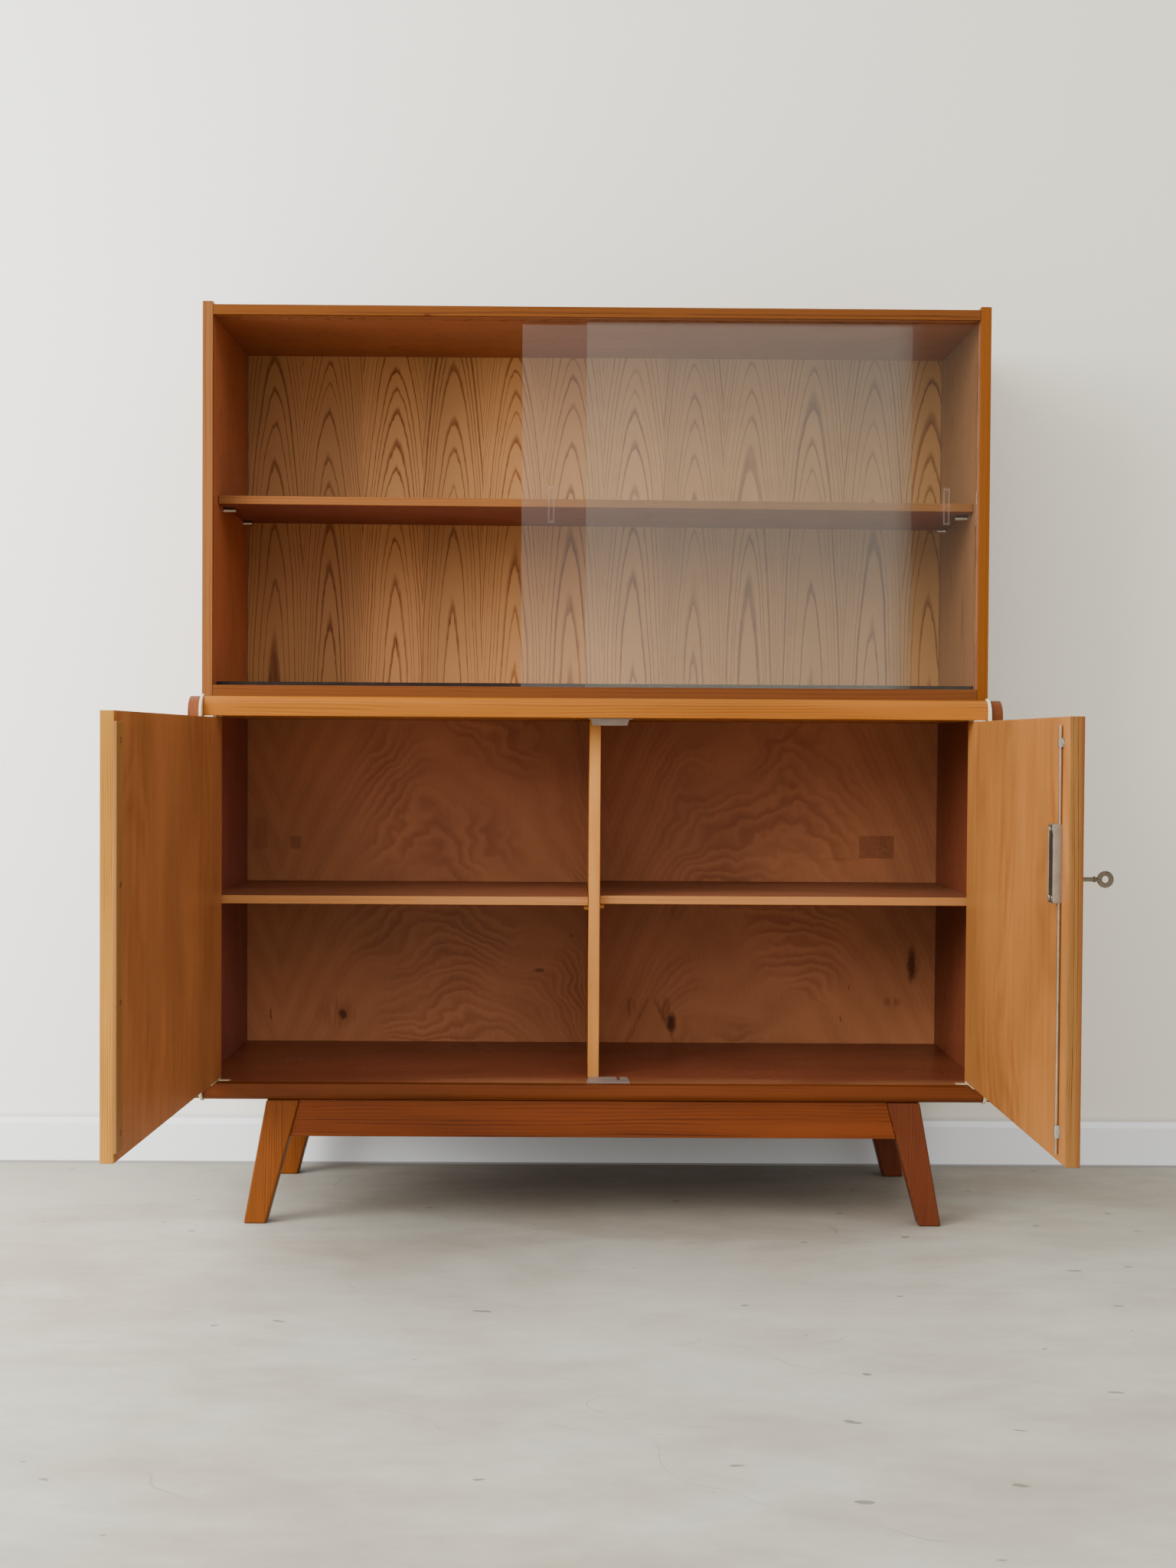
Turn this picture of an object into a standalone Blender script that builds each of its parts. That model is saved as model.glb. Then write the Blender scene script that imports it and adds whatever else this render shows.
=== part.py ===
"""Mid-century buffet: a two-door lower case on splayed legs with a glazed upper case.

Units are metres, +Z is up, +X is to the right of someone facing the buffet and the
front looks along -Y.  The doors stand open, the left glass pane is slid to the right
and the key is in its lock, as the piece is shown.  Sizes below are read with the
front plane of the lower side panels at y = 0 and the floor at z = 0; the last step
moves the whole assembly so that its bounding box stands centred on the origin.
"""
import math

import bmesh
import bpy
from mathutils import Matrix, Vector

# Fits and small edges
TOUCH = 0.0003            # space left between two pieces that touch
RUNNING = 0.0002          # radial play of a turning pin
ROD_PLAY = 0.0003         # radial play of a sliding rod
ARRIS = 0.0008            # broken edge of a wooden board
ROUND_SIDES = 20          # facets of a small round piece

# Lower case
CASE_WIDTH = 1.150
CASE_DEPTH = 0.400
LEG_HEIGHT = 0.177
BOTTOM_BOARD = 0.024
OPENING_HEIGHT = 0.521
TOP_BOARD = 0.028
SIDE_BOARD = 0.016
SIDE_CORNER = 0.024       # radius of the side panel's front corners
NOSE_SETBACK = 0.006
NOSE_DEPTH = 0.018
NOSE_ROUND = 0.012
PIPING = 0.004
PIPING_PROUD = 0.003
BACK_PANEL = 0.004
BACK_RECESS = 0.005
DIVIDER_BOARD = 0.016
DIVIDER_SETBACK = 0.067

# Loose shelves of the lower case and their pegs
LOWER_SHELF = 0.012
LOWER_SHELF_SETBACK = 0.082
LOWER_SHELF_CLEAR = 0.009 # between a loose shelf and the back panel
LEFT_SHELF_RISE = 0.261   # top of the shelf above the floor board
RIGHT_SHELF_RISE = 0.2633
SHELF_END_PLAY = 0.0006
PEG_RADIUS = 0.0036
PEG_OUT = 0.0065
PEG_IN = 0.006
PEG_FROM_EDGE = 0.012

# Upper case
UPPER_DEPTH = 0.300
UPPER_HEIGHT = 0.576
UPPER_SIDE = 0.0155
UPPER_BOTTOM_BOARD = 0.018
UPPER_TOP_BOARD = 0.015
UPPER_SIDE_PROUD = 0.0045
UPPER_SHELF = 0.012
UPPER_SHELF_RISE = 0.269  # underside of the shelf above the upper case's floor, left end
UPPER_SHELF_DROP = 0.0045 # the right-hand pins sit this much lower
UPPER_SHELF_SETBACK = 0.041
UPPER_SHELF_CLEAR = 0.010 # between the shelf and the back panel
PIN_RADIUS = 0.004
PIN_OUT = 0.019
PIN_REAR_OUT = 0.0145
PIN_IN = 0.008
PIN_FRONT_OFFSET = 0.045  # from the shelf's front edge
PIN_REAR_OFFSET = 0.030   # from the shelf's rear edge

# Sliding glass
GLASS = 0.004
PANE_PAST_CENTRE = 0.016  # each closed pane's free edge lies this far past the middle
GROOVE_PLAY = 0.0005      # each side of a pane in its groove
FRONT_PANE_SETBACK = 0.016
GROOVE_PITCH = 0.009
BOTTOM_GROOVE = 0.004
TOP_GROOVE = 0.009
GLASS_BITE = 0.0045       # how far the panes reach into the top grooves
LEFT_PANE_SHORT = 0.095   # the slid left pane stops this far short of the right side
PANE_END_PLAY = 0.0005
PULL_WIDTH = 0.011
PULL_HEIGHT = 0.053
PULL_INSET = 0.044
PULL_CUT = 0.0015
STOP_STRIP = 0.004
STOP_STRIP_RISE = 0.006

# Doors
DOOR = 0.0165
DOOR_SETBACK = 0.0243
DOOR_FLOOR_GAP = 0.0023
DOOR_TOP_GAP = 0.002
DOOR_EDGE_GAP = 0.0032
DOOR_MEETING_GAP = 0.0015
MEETING_OFFSET = 0.0005   # the left door's free edge lies this far right of the centre
DOOR_LIPPING = 0.005
LEFT_OPEN = 91.75         # degrees from closed to the pose shown
RIGHT_OPEN = 90.0

# Knife hinges
PIVOT_INSET = 0.0125      # from the door's hinge edge
DOOR_LEAF_THICK = 0.0014
DOOR_LEAF_WIDTH = 0.0125
DOOR_LEAF_LENGTH = 0.058
CASE_LEAF_THICK = 0.002
CASE_LEAF_WIDTH = 0.0125
CASE_LEAF_LENGTH = 0.036
HINGE_PIN_RADIUS = 0.003
HINGE_PIN_REACH = 0.005   # into the door's end

# Closing strip on the left door
STRIP_THICK = 0.0045
STRIP_WIDTH = 0.026
STRIP_LAP = 0.0055
STRIP_END_GAP = 0.0125
STRIP_SCREW_INSET = 0.021 # first and last screw from the strip's ends
STRIP_SCREW_WANDER = (0.0, 0.0, -0.0155, 0.0)
STRIP_SCREW_FROM_EDGE = 0.011
SCREW_HEAD_RADIUS = 0.0024
SCREW_HEAD = 0.0012
SCREW_SHANK_RADIUS = 0.0012
SCREW_SHANK = 0.010

# Rod lock on the right door
CASE_TALL = 0.0924
CASE_WIDE = 0.026
CASE_PROUD = 0.011
CASE_EDGE = 0.003
CASE_WALL = 0.0013
CASE_RECESS = 0.0012
CASE_RECESS_MARGIN = 0.0028
LOCK_INSET = 0.0436       # lock centre line from the door's free edge
LOCK_BASE_RISE = 0.300    # case bottom above the door's bottom edge
KEY_RISE = 0.0278         # key axis above the case bottom
ROD_RADIUS = 0.0018
ROD_INSET = 0.034
ROD_STANDOFF = 0.0007
ROD_TOP_SHORT = 0.0095    # rod end below the door's top edge
ROD_BOTTOM_SHORT = 0.0085
UPPER_ROD_TAIL = 0.036    # inner end below the case top
LOWER_ROD_TAIL = 0.024    # inner end above the case bottom
UPPER_GUIDE_TALL = 0.0106
LOWER_GUIDE_TALL = 0.0152
GUIDE_BRIDGE = 0.0075
GUIDE_FLANGE = 0.0052
GUIDE_PLATE = 0.0009
UPPER_GUIDE_DROP = 0.030  # middle of the guide from the door's top
LOWER_GUIDE_RISE = 0.035
LOCK_SCREW_SIDE = 0.0063  # lock screws each side of its centre line
LOCK_SCREW_END = 0.0055

# Key
KEY_SHAFT_RADIUS = 0.00275
KEY_REACH = 0.026         # shaft from the door's outer face to the neck
NECK_RADIUS = 0.0036
NECK_LENGTH = 0.0028
BOW_RADIUS = 0.0099
BOW_HOLE = 0.0055
BOW_THICK = 0.0030
BIT_DROP = 0.0062
BIT_THICK = 0.0022
BIT_LENGTH = 0.0028
KEYHOLE_PLAY = 0.0006
ESCUTCHEON_TALL = 0.030
ESCUTCHEON_WIDE = 0.016
ESCUTCHEON_THICK = 0.0012
FOLLOWER_RADIUS = 0.0066
FOLLOWER_THICK = 0.0025

# Strike plates at the meeting line
PLATE_THICK = 0.0012
PLATE_SETBACK = 0.022
PLATE_DEPTH = 0.044
TOP_PLATE_DEPTH = 0.038
PLATE_LEFT = 0.010        # reach to the left of the centre at its front edge
PLATE_RIGHT = 0.0523
PLATE_TAPER = 0.0033      # drawn in at each end of the rear edge
PLATE_LIP = 0.0086
PLATE_SCREW_LEFT = 0.009  # screws from the plate's ends and its front edge
PLATE_SCREW_RIGHT = 0.032
PLATE_SCREW_SETBACK = 0.014
PLATE_SCREW_PROUD = 0.0002
TOP_SLOT_SHORT = 0.006
SLOT_PLAY = 0.0005
SLOT_START = 0.0045       # slot begins this far in front of the rod
BOLT_HOLE_DEPTH = 0.012

# Base
APRON_HEIGHT = 0.052
APRON_BOARD = 0.020
APRON_SETBACK = 0.003
LEG_DEPTH = 0.030
FRONT_LEG_SETBACK = 0.012
REAR_LEG_SETBACK = 0.052  # from the rear edge of the sides
LEG_INSET = 0.110         # top of a leg from the case's outer side
LEG_TOP_WIDTH = 0.047
FOOT_WIDTH = 0.0315
LEG_SPLAY = 0.032         # the foot stands this far outside the leg's top
SIDE_APRON_INSET = 0.005
FOOT_CHAMFER = 0.0025

# Finishes: colour, roughness, metallic
OAK_RED = ((0.42, 0.19, 0.075), 0.42, 0.0)
OAK_GOLD = ((0.55, 0.29, 0.12), 0.45, 0.0)
OAK_NOSE = ((0.56, 0.28, 0.10), 0.40, 0.0)
BEECH = ((0.55, 0.30, 0.14), 0.45, 0.0)
PLY_BROWN = ((0.36, 0.17, 0.08), 0.50, 0.0)
PALE_EDGE = ((0.62, 0.40, 0.22), 0.50, 0.0)
IVORY = ((0.86, 0.80, 0.66), 0.35, 0.0)
STEEL = ((0.60, 0.58, 0.54), 0.35, 1.0)
DARK_STEEL = ((0.30, 0.27, 0.22), 0.40, 1.0)
DARK_WOOD = ((0.05, 0.03, 0.02), 0.50, 0.0)
GLASS_CLEAR = ((0.80, 0.84, 0.82), 0.03, 0.0)

# Levels and planes that follow from the sizes
HALF_WIDTH = CASE_WIDTH / 2
INNER_HALF = HALF_WIDTH - SIDE_BOARD
FLOOR_TOP = LEG_HEIGHT + BOTTOM_BOARD
CEILING = FLOOR_TOP + OPENING_HEIGHT
CASE_TOP = CEILING + TOP_BOARD
BOARD_FRONT = NOSE_SETBACK + NOSE_DEPTH
BACK_FACE = CASE_DEPTH - BACK_RECESS - BACK_PANEL
BOARD_BACK = BACK_FACE - TOUCH
LOWER_SHELF_DEPTH = BACK_FACE - LOWER_SHELF_CLEAR - LOWER_SHELF_SETBACK

UPPER_FRONT = CASE_DEPTH - UPPER_DEPTH
UPPER_SHELF_FRONT = UPPER_FRONT + UPPER_SHELF_SETBACK
UPPER_SHELF_DEPTH = BACK_FACE - UPPER_SHELF_CLEAR - UPPER_SHELF_FRONT
UPPER_BASE = CASE_TOP + TOUCH
UPPER_FLOOR = UPPER_BASE + UPPER_BOTTOM_BOARD
UPPER_SIDE_TOP = UPPER_BASE + UPPER_HEIGHT
UPPER_ROOF_TOP = UPPER_SIDE_TOP - UPPER_SIDE_PROUD
UPPER_ROOF = UPPER_ROOF_TOP - UPPER_TOP_BOARD
UPPER_INNER_HALF = HALF_WIDTH - UPPER_SIDE
GLASS_WIDTH = UPPER_INNER_HALF - PANE_END_PLAY + PANE_PAST_CENTRE

LEG_TOP_OUTER = HALF_WIDTH - LEG_INSET
LEG_TOP_INNER = LEG_TOP_OUTER - LEG_TOP_WIDTH
FOOT_OUTER = LEG_TOP_OUTER + LEG_SPLAY
FOOT_INNER = FOOT_OUTER - FOOT_WIDTH

DOOR_BOTTOM = FLOOR_TOP + DOOR_FLOOR_GAP
DOOR_TOP = CEILING - DOOR_TOP_GAP
DOOR_INNER = DOOR_SETBACK + DOOR
PIVOT_X = INNER_HALF - DOOR_EDGE_GAP - PIVOT_INSET
PIVOT_Y = DOOR_SETBACK + DOOR / 2
LEFT_WIDTH = INNER_HALF - DOOR_EDGE_GAP + MEETING_OFFSET
RIGHT_WIDTH = INNER_HALF - DOOR_EDGE_GAP - MEETING_OFFSET - DOOR_MEETING_GAP
RIGHT_EDGE_X = MEETING_OFFSET + DOOR_MEETING_GAP
ROD_OUT = DOOR + ROD_STANDOFF + ROD_RADIUS
ROD_Y = DOOR_SETBACK + ROD_OUT
LOCK_BOTTOM = DOOR_BOTTOM + LOCK_BASE_RISE
LOCK_TOP = LOCK_BOTTOM + CASE_TALL
KEY_Z = LOCK_BOTTOM + KEY_RISE


def clear_scene():
    for thing in list(bpy.data.objects):
        bpy.data.objects.remove(thing, do_unlink=True)


clear_scene()
PARTS = bpy.data.collections.new("buffet")
CUTTERS = bpy.data.collections.new("cutters")
for collection in (PARTS, CUTTERS):
    bpy.context.scene.collection.children.link(collection)


# Small building helpers

def paint(part, look):
    colour, roughness, metallic = look
    material = bpy.data.materials.new(part.name + "_finish")
    material.use_nodes = True
    shader = material.node_tree.nodes["Principled BSDF"]
    shader.inputs["Base Color"].default_value = (*colour, 1.0)
    shader.inputs["Roughness"].default_value = roughness
    shader.inputs["Metallic"].default_value = metallic
    part.data.materials.append(material)


def place(name, mesh_data, look, location, parent):
    part = bpy.data.objects.new(name, mesh_data)
    part.location = location
    part.parent = parent
    PARTS.objects.link(part)
    paint(part, look)
    return part


def soften(part, width, segments=2):
    """Break every sharp edge of a board."""
    bevel = part.modifiers.new("broken_edges", "BEVEL")
    bevel.width = width
    bevel.segments = segments
    bevel.limit_method = "ANGLE"
    return part


def box_mesh(name, size):
    shape = bmesh.new()
    bmesh.ops.create_cube(shape, size=1.0)
    bmesh.ops.scale(shape, vec=Vector(size), verts=shape.verts)
    data = bpy.data.meshes.new(name)
    shape.to_mesh(data)
    shape.free()
    return data


def board(name, low, high, look, parent=None, arris=ARRIS, segments=2):
    """A plain board from its lowest corner to its highest, with broken edges."""
    low, high = Vector(low), Vector(high)
    part = place(name, box_mesh(name, high - low), look, (low + high) / 2, parent)
    if arris > 0:
        soften(part, arris, segments)
    return part


def turn_to(axis):
    return Vector((0, 0, 1)).rotation_difference(Vector(axis)).to_matrix().to_4x4()


def add_cylinder(shape, centre, axis, radius, length, top_radius=None, sides=ROUND_SIDES):
    tip = radius if top_radius is None else top_radius
    spot = Matrix.Translation(Vector(centre)) @ turn_to(axis)
    bmesh.ops.create_cone(shape, cap_ends=True, cap_tris=False, segments=sides,
                          radius1=radius, radius2=tip, depth=length, matrix=spot)


def shade_round(data):
    data.shade_smooth()
    data.set_sharp_from_angle(angle=math.radians(40))


def round_bar(name, centre, axis, radius, length, look, parent=None, sides=ROUND_SIDES):
    shape = bmesh.new()
    add_cylinder(shape, (0, 0, 0), axis, radius, length, sides=sides)
    data = bpy.data.meshes.new(name)
    shape.to_mesh(data)
    shape.free()
    shade_round(data)
    return place(name, data, look, centre, parent)


def helper(name, data, location, parent):
    tool = bpy.data.objects.new(name, data)
    tool.location = location
    tool.parent = parent
    tool.display_type = "WIRE"
    tool.hide_render = True
    CUTTERS.objects.link(tool)
    return tool


def combine(part, tool, operation):
    cut = part.modifiers.new(tool.name, "BOOLEAN")
    cut.operation = operation
    cut.solver = "EXACT"
    cut.object = tool


def box_tool(part, label, low, high, operation="DIFFERENCE"):
    low, high = Vector(low), Vector(high)
    name = part.name + "_" + label
    tool = helper(name, box_mesh(name, high - low), (low + high) / 2, part.parent)
    combine(part, tool, operation)
    return tool


def round_tool(part, label, centre, axis, radius, length, operation="DIFFERENCE",
               top_radius=None, sides=ROUND_SIDES):
    name = part.name + "_" + label
    shape = bmesh.new()
    add_cylinder(shape, (0, 0, 0), axis, radius, length, top_radius, sides)
    data = bpy.data.meshes.new(name)
    shape.to_mesh(data)
    shape.free()
    tool = helper(name, data, centre, part.parent)
    combine(part, tool, operation)
    return tool


def round_corners(data, chooser, radius, segments=8):
    """Round the mesh edges whose middle point the chooser accepts."""
    shape = bmesh.new()
    shape.from_mesh(data)
    edges = [e for e in shape.edges if chooser((e.verts[0].co + e.verts[1].co) / 2, e)]
    bmesh.ops.bevel(shape, geom=edges, offset=radius, segments=segments, profile=0.5,
                    affect="EDGES", clamp_overlap=True)
    shape.to_mesh(data)
    shape.free()


def along_x(edge):
    step = edge.verts[0].co - edge.verts[1].co
    return abs(step.x) > max(abs(step.y), abs(step.z))


# Lower case

def front_corner(middle, edge):
    return along_x(edge) and middle.y < 0


def lower_sides():
    for label, sign in (("left", -1), ("right", 1)):
        outer, inner = sorted((sign * HALF_WIDTH, sign * INNER_HALF))
        panel = board("lower_side_" + label, (outer, 0, LEG_HEIGHT),
                      (inner, CASE_DEPTH, CASE_TOP), OAK_RED, arris=0)
        round_corners(panel.data, front_corner, SIDE_CORNER)
        soften(panel, ARRIS)
        rise = LEFT_SHELF_RISE if sign < 0 else RIGHT_SHELF_RISE
        add_pegs(panel, label, sign * INNER_HALF, -sign, rise)


def add_pegs(part, label, wall, inward, rise):
    """Two glued-in wooden pegs that carry one end of a loose shelf."""
    for name, end in (("front", PEG_FROM_EDGE), ("rear", LOWER_SHELF_DEPTH - PEG_FROM_EDGE)):
        middle = wall + inward * (PEG_OUT - PEG_IN) / 2
        round_tool(part, "peg_%s_%s" % (name, label),
                   (middle, LOWER_SHELF_SETBACK + end, peg_level(rise)),
                   (1, 0, 0), PEG_RADIUS, PEG_OUT + PEG_IN, "UNION", sides=16)


def piping():
    """Ivory strips let in between the side panels and the ends of the two noses."""
    for label, sign in (("left", -1), ("right", 1)):
        near = sign * (INNER_HALF - TOUCH)
        far = sign * (INNER_HALF - TOUCH - PIPING)
        outer, inner = sorted((near, far))
        strip = board("piping_" + label, (outer, -PIPING_PROUD, LEG_HEIGHT - PIPING_PROUD),
                      (inner, BOARD_FRONT - TOUCH, CASE_TOP + PIPING_PROUD), IVORY, arris=0)
        round_corners(strip.data, front_corner, SIDE_CORNER + PIPING_PROUD / 2)
        soften(strip, PIPING / 5, 1)


def nose(name, base, top, chooser):
    reach = INNER_HALF - PIPING - 2 * TOUCH
    part = board(name, (-reach, NOSE_SETBACK, base), (reach, BOARD_FRONT - TOUCH, top),
                 OAK_NOSE, arris=0)
    round_corners(part.data, chooser, NOSE_ROUND)
    return soften(part, ARRIS)


def lower_boards():
    nose("lower_top_nose", CEILING, CASE_TOP,
         lambda middle, edge: along_x(edge) and middle.y < 0 and middle.z > 0)
    nose("lower_bottom_nose", LEG_HEIGHT, FLOOR_TOP,
         lambda middle, edge: along_x(edge) and middle.y < 0 and middle.z < 0)
    reach = INNER_HALF - TOUCH
    top = board("lower_top_board", (-reach, BOARD_FRONT, CEILING),
                (reach, BOARD_BACK, CASE_TOP), OAK_GOLD)
    floor = board("lower_bottom_board", (-reach, BOARD_FRONT, LEG_HEIGHT),
                  (reach, BOARD_BACK, FLOOR_TOP), PLY_BROWN)
    for label, panel, level in (("top", top, CEILING), ("bottom", floor, FLOOR_TOP)):
        round_tool(panel, "bolt_hole", (RIGHT_EDGE_X + ROD_INSET, ROD_Y, level), (0, 0, 1),
                   ROD_RADIUS + SLOT_PLAY, 2 * BOLT_HOLE_DEPTH, sides=16)
        for x, y in plate_screw_spots():
            name = "screw_hole_left" if x < 0 else "screw_hole_right"
            round_tool(panel, name, (x, y, level), (0, 0, 1),
                       SCREW_SHANK_RADIUS + TOUCH, 2 * (SCREW_SHANK + TOUCH), sides=12)
        for sign in (-1, 1):
            low, high = case_leaf_box(sign, level, label == "top", TOUCH)
            box_tool(panel, "leaf_seat_%s" % ("left" if sign < 0 else "right"), low, high)
    return top, floor


def lower_back_and_divider():
    reach = INNER_HALF - TOUCH
    board("lower_back_panel", (-reach, BACK_FACE, LEG_HEIGHT),
          (reach, BACK_FACE + BACK_PANEL, CASE_TOP), PLY_BROWN)
    divider = board("divider", (-DIVIDER_BOARD / 2, DIVIDER_SETBACK, FLOOR_TOP + TOUCH),
                    (DIVIDER_BOARD / 2, BOARD_BACK, CEILING - TOUCH), PALE_EDGE)
    add_pegs(divider, "left", -DIVIDER_BOARD / 2, -1, LEFT_SHELF_RISE)
    add_pegs(divider, "right", DIVIDER_BOARD / 2, 1, RIGHT_SHELF_RISE)


def peg_level(rise):
    return FLOOR_TOP + rise - LOWER_SHELF - TOUCH - PEG_RADIUS


def lower_shelves():
    inner = DIVIDER_BOARD / 2
    for label, sign, rise in (("left", -1, LEFT_SHELF_RISE), ("right", 1, RIGHT_SHELF_RISE)):
        ends = sorted((sign * (inner + SHELF_END_PLAY), sign * (INNER_HALF - SHELF_END_PLAY)))
        top = FLOOR_TOP + rise
        board("lower_shelf_" + label, (ends[0], LOWER_SHELF_SETBACK, top - LOWER_SHELF),
              (ends[1], LOWER_SHELF_SETBACK + LOWER_SHELF_DEPTH, top), PALE_EDGE)


# Strike plates that take the rods of the lock

def plate_screw_spots():
    level = PLATE_SETBACK + PLATE_SCREW_SETBACK
    return ((-PLATE_LEFT + PLATE_SCREW_LEFT, level), (PLATE_RIGHT - PLATE_SCREW_RIGHT, level))


def taper_rear(data, amount):
    """Draw the rear end of a plate in by the same amount on both sides."""
    for vert in data.vertices:
        if vert.co.y > 0:
            vert.co.x -= math.copysign(amount, vert.co.x)


def add_screw(part, label, face, axis, shank, proud):
    """Join a screw to what it holds: a tapered head on the face and a shank below it."""
    face, axis = Vector(face), Vector(axis)
    head = proud + TOUCH
    round_tool(part, label + "_shank", face - axis * (shank / 2 - TOUCH / 2), axis,
               SCREW_SHANK_RADIUS, shank + TOUCH, "UNION", sides=12)
    round_tool(part, label + "_head", face + axis * (proud - head / 2), axis,
               SCREW_HEAD_RADIUS, head, "UNION", top_radius=SCREW_HEAD_RADIUS * 0.8, sides=16)


def strike_plate(name, base, depth, slot_short, way):
    low = (-PLATE_LEFT, PLATE_SETBACK, base)
    high = (PLATE_RIGHT, PLATE_SETBACK + depth, base + PLATE_THICK)
    plate = board(name, low, high, STEEL, arris=0)
    taper_rear(plate.data, PLATE_TAPER)
    rod_x = RIGHT_EDGE_X + ROD_INSET
    play = ROD_RADIUS + SLOT_PLAY
    box_tool(plate, "slot", (rod_x - play, ROD_Y - SLOT_START, base - TOUCH),
             (rod_x + play, PLATE_SETBACK + depth - slot_short, base + PLATE_THICK + TOUCH))
    face = base + PLATE_THICK if way > 0 else base
    for x, y in plate_screw_spots():
        add_screw(plate, "screw_left" if x < 0 else "screw_right", (x, y, face), (0, 0, way),
                  SCREW_SHANK, PLATE_SCREW_PROUD)
    return plate


def strike_plates():
    strike_plate("strike_plate_bottom", FLOOR_TOP + TOUCH, PLATE_DEPTH, -TOUCH, 1)
    level = CEILING - TOUCH - PLATE_THICK
    plate = strike_plate("strike_plate_top", level, TOP_PLATE_DEPTH, TOP_SLOT_SHORT, -1)
    rear = PLATE_SETBACK + TOP_PLATE_DEPTH
    lip = box_tool(plate, "lip", (-PLATE_LEFT + PLATE_TAPER, rear - PLATE_THICK, level - PLATE_LIP),
                   (PLATE_RIGHT - PLATE_TAPER, rear, level + PLATE_THICK / 2), "UNION")
    for vert in lip.data.vertices:
        if vert.co.z < 0:
            vert.co.x -= math.copysign(PLATE_TAPER, vert.co.x)


# Base

def leg(name, sign, front):
    """A flat tapered leg that splays sideways; the cube's ends get their own widths."""
    data = box_mesh(name, (1, LEG_DEPTH, LEG_HEIGHT - TOUCH))
    spans = {True: (LEG_TOP_INNER, LEG_TOP_OUTER), False: (FOOT_INNER, FOOT_OUTER)}
    for vert in data.vertices:
        inner, outer = spans[vert.co.z > 0]
        vert.co.x = sign * (outer if sign * vert.co.x > 0 else inner)
    part = place(name, data, OAK_RED,
                 (0, front + LEG_DEPTH / 2, (LEG_HEIGHT - TOUCH) / 2), None)
    return soften(part, FOOT_CHAMFER, 2)


def leg_inner_at(z):
    share = z / (LEG_HEIGHT - TOUCH)
    return FOOT_INNER + (LEG_TOP_INNER - FOOT_INNER) * share


def cross_apron(name, front):
    """An apron between two legs, its ends cut to the slope of the legs."""
    top = LEG_HEIGHT - TOUCH
    low = top - APRON_HEIGHT
    data = box_mesh(name, (1, APRON_BOARD, APRON_HEIGHT))
    for vert in data.vertices:
        level = top if vert.co.z > 0 else low
        vert.co.x = math.copysign(leg_inner_at(level) - TOUCH, vert.co.x)
    part = place(name, data, OAK_RED, (0, front + APRON_BOARD / 2, (top + low) / 2), None)
    return soften(part, ARRIS)


def base():
    rear_front = CASE_DEPTH - REAR_LEG_SETBACK - LEG_DEPTH
    for row, front in (("front", FRONT_LEG_SETBACK), ("rear", rear_front)):
        for label, sign in (("left", -1), ("right", 1)):
            leg("leg_%s_%s" % (row, label), sign, front)
    cross_apron("apron_front", FRONT_LEG_SETBACK + APRON_SETBACK)
    cross_apron("apron_rear", rear_front + LEG_DEPTH - APRON_SETBACK - APRON_BOARD)
    top = LEG_HEIGHT - TOUCH
    start = FRONT_LEG_SETBACK + LEG_DEPTH + TOUCH
    for label, sign in (("left", -1), ("right", 1)):
        near = leg_inner_at(top - APRON_HEIGHT) + SIDE_APRON_INSET
        outer, inner = sorted((sign * (near + APRON_BOARD), sign * near))
        board("apron_" + label, (outer, start, top - APRON_HEIGHT),
              (inner, rear_front - TOUCH, top), OAK_RED)


# Upper case

def pane_front(row):
    """Front face of a pane: row 0 is the front groove, row 1 the rear one."""
    return UPPER_FRONT + FRONT_PANE_SETBACK + row * GROOVE_PITCH


def groove(part, label, row, low, high):
    start = pane_front(row) - GROOVE_PLAY
    reach = UPPER_INNER_HALF + TOUCH
    box_tool(part, label + "_groove_%d" % row, (-reach, start, low),
             (reach, start + GLASS + 2 * GROOVE_PLAY, high))


def pin_level(sign):
    drop = UPPER_SHELF_DROP if sign > 0 else 0.0
    return UPPER_FLOOR + UPPER_SHELF_RISE - drop - TOUCH - PIN_RADIUS


def pin_rows():
    rear = UPPER_SHELF_FRONT + UPPER_SHELF_DEPTH
    return (("front", UPPER_SHELF_FRONT + PIN_FRONT_OFFSET), ("rear", rear - PIN_REAR_OFFSET))


def upper_case():
    for label, sign in (("left", -1), ("right", 1)):
        outer, inner = sorted((sign * HALF_WIDTH, sign * UPPER_INNER_HALF))
        side = board("upper_side_" + label, (outer, UPPER_FRONT, UPPER_BASE),
                     (inner, CASE_DEPTH, UPPER_SIDE_TOP), OAK_RED)
        for end, y in pin_rows():
            round_tool(side, "pin_hole_" + end,
                       (sign * UPPER_INNER_HALF, y, pin_level(sign)), (1, 0, 0),
                       PIN_RADIUS + TOUCH, 2 * (PIN_IN + TOUCH))
    reach = UPPER_INNER_HALF - TOUCH
    floor = board("upper_bottom_board", (-reach, UPPER_FRONT, UPPER_BASE),
                  (reach, BOARD_BACK, UPPER_FLOOR), OAK_RED)
    roof = board("upper_top_board", (-reach, UPPER_FRONT, UPPER_ROOF),
                 (reach, BOARD_BACK, UPPER_ROOF_TOP), OAK_GOLD)
    for row in (0, 1):
        groove(floor, "bottom", row, UPPER_FLOOR - BOTTOM_GROOVE, UPPER_FLOOR + TOUCH)
        groove(roof, "top", row, UPPER_ROOF - TOUCH, UPPER_ROOF + TOP_GROOVE)
    board("upper_back_panel", (-reach, BACK_FACE, UPPER_BASE + TOUCH),
          (reach, BACK_FACE + BACK_PANEL, UPPER_ROOF_TOP), OAK_GOLD)


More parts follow.
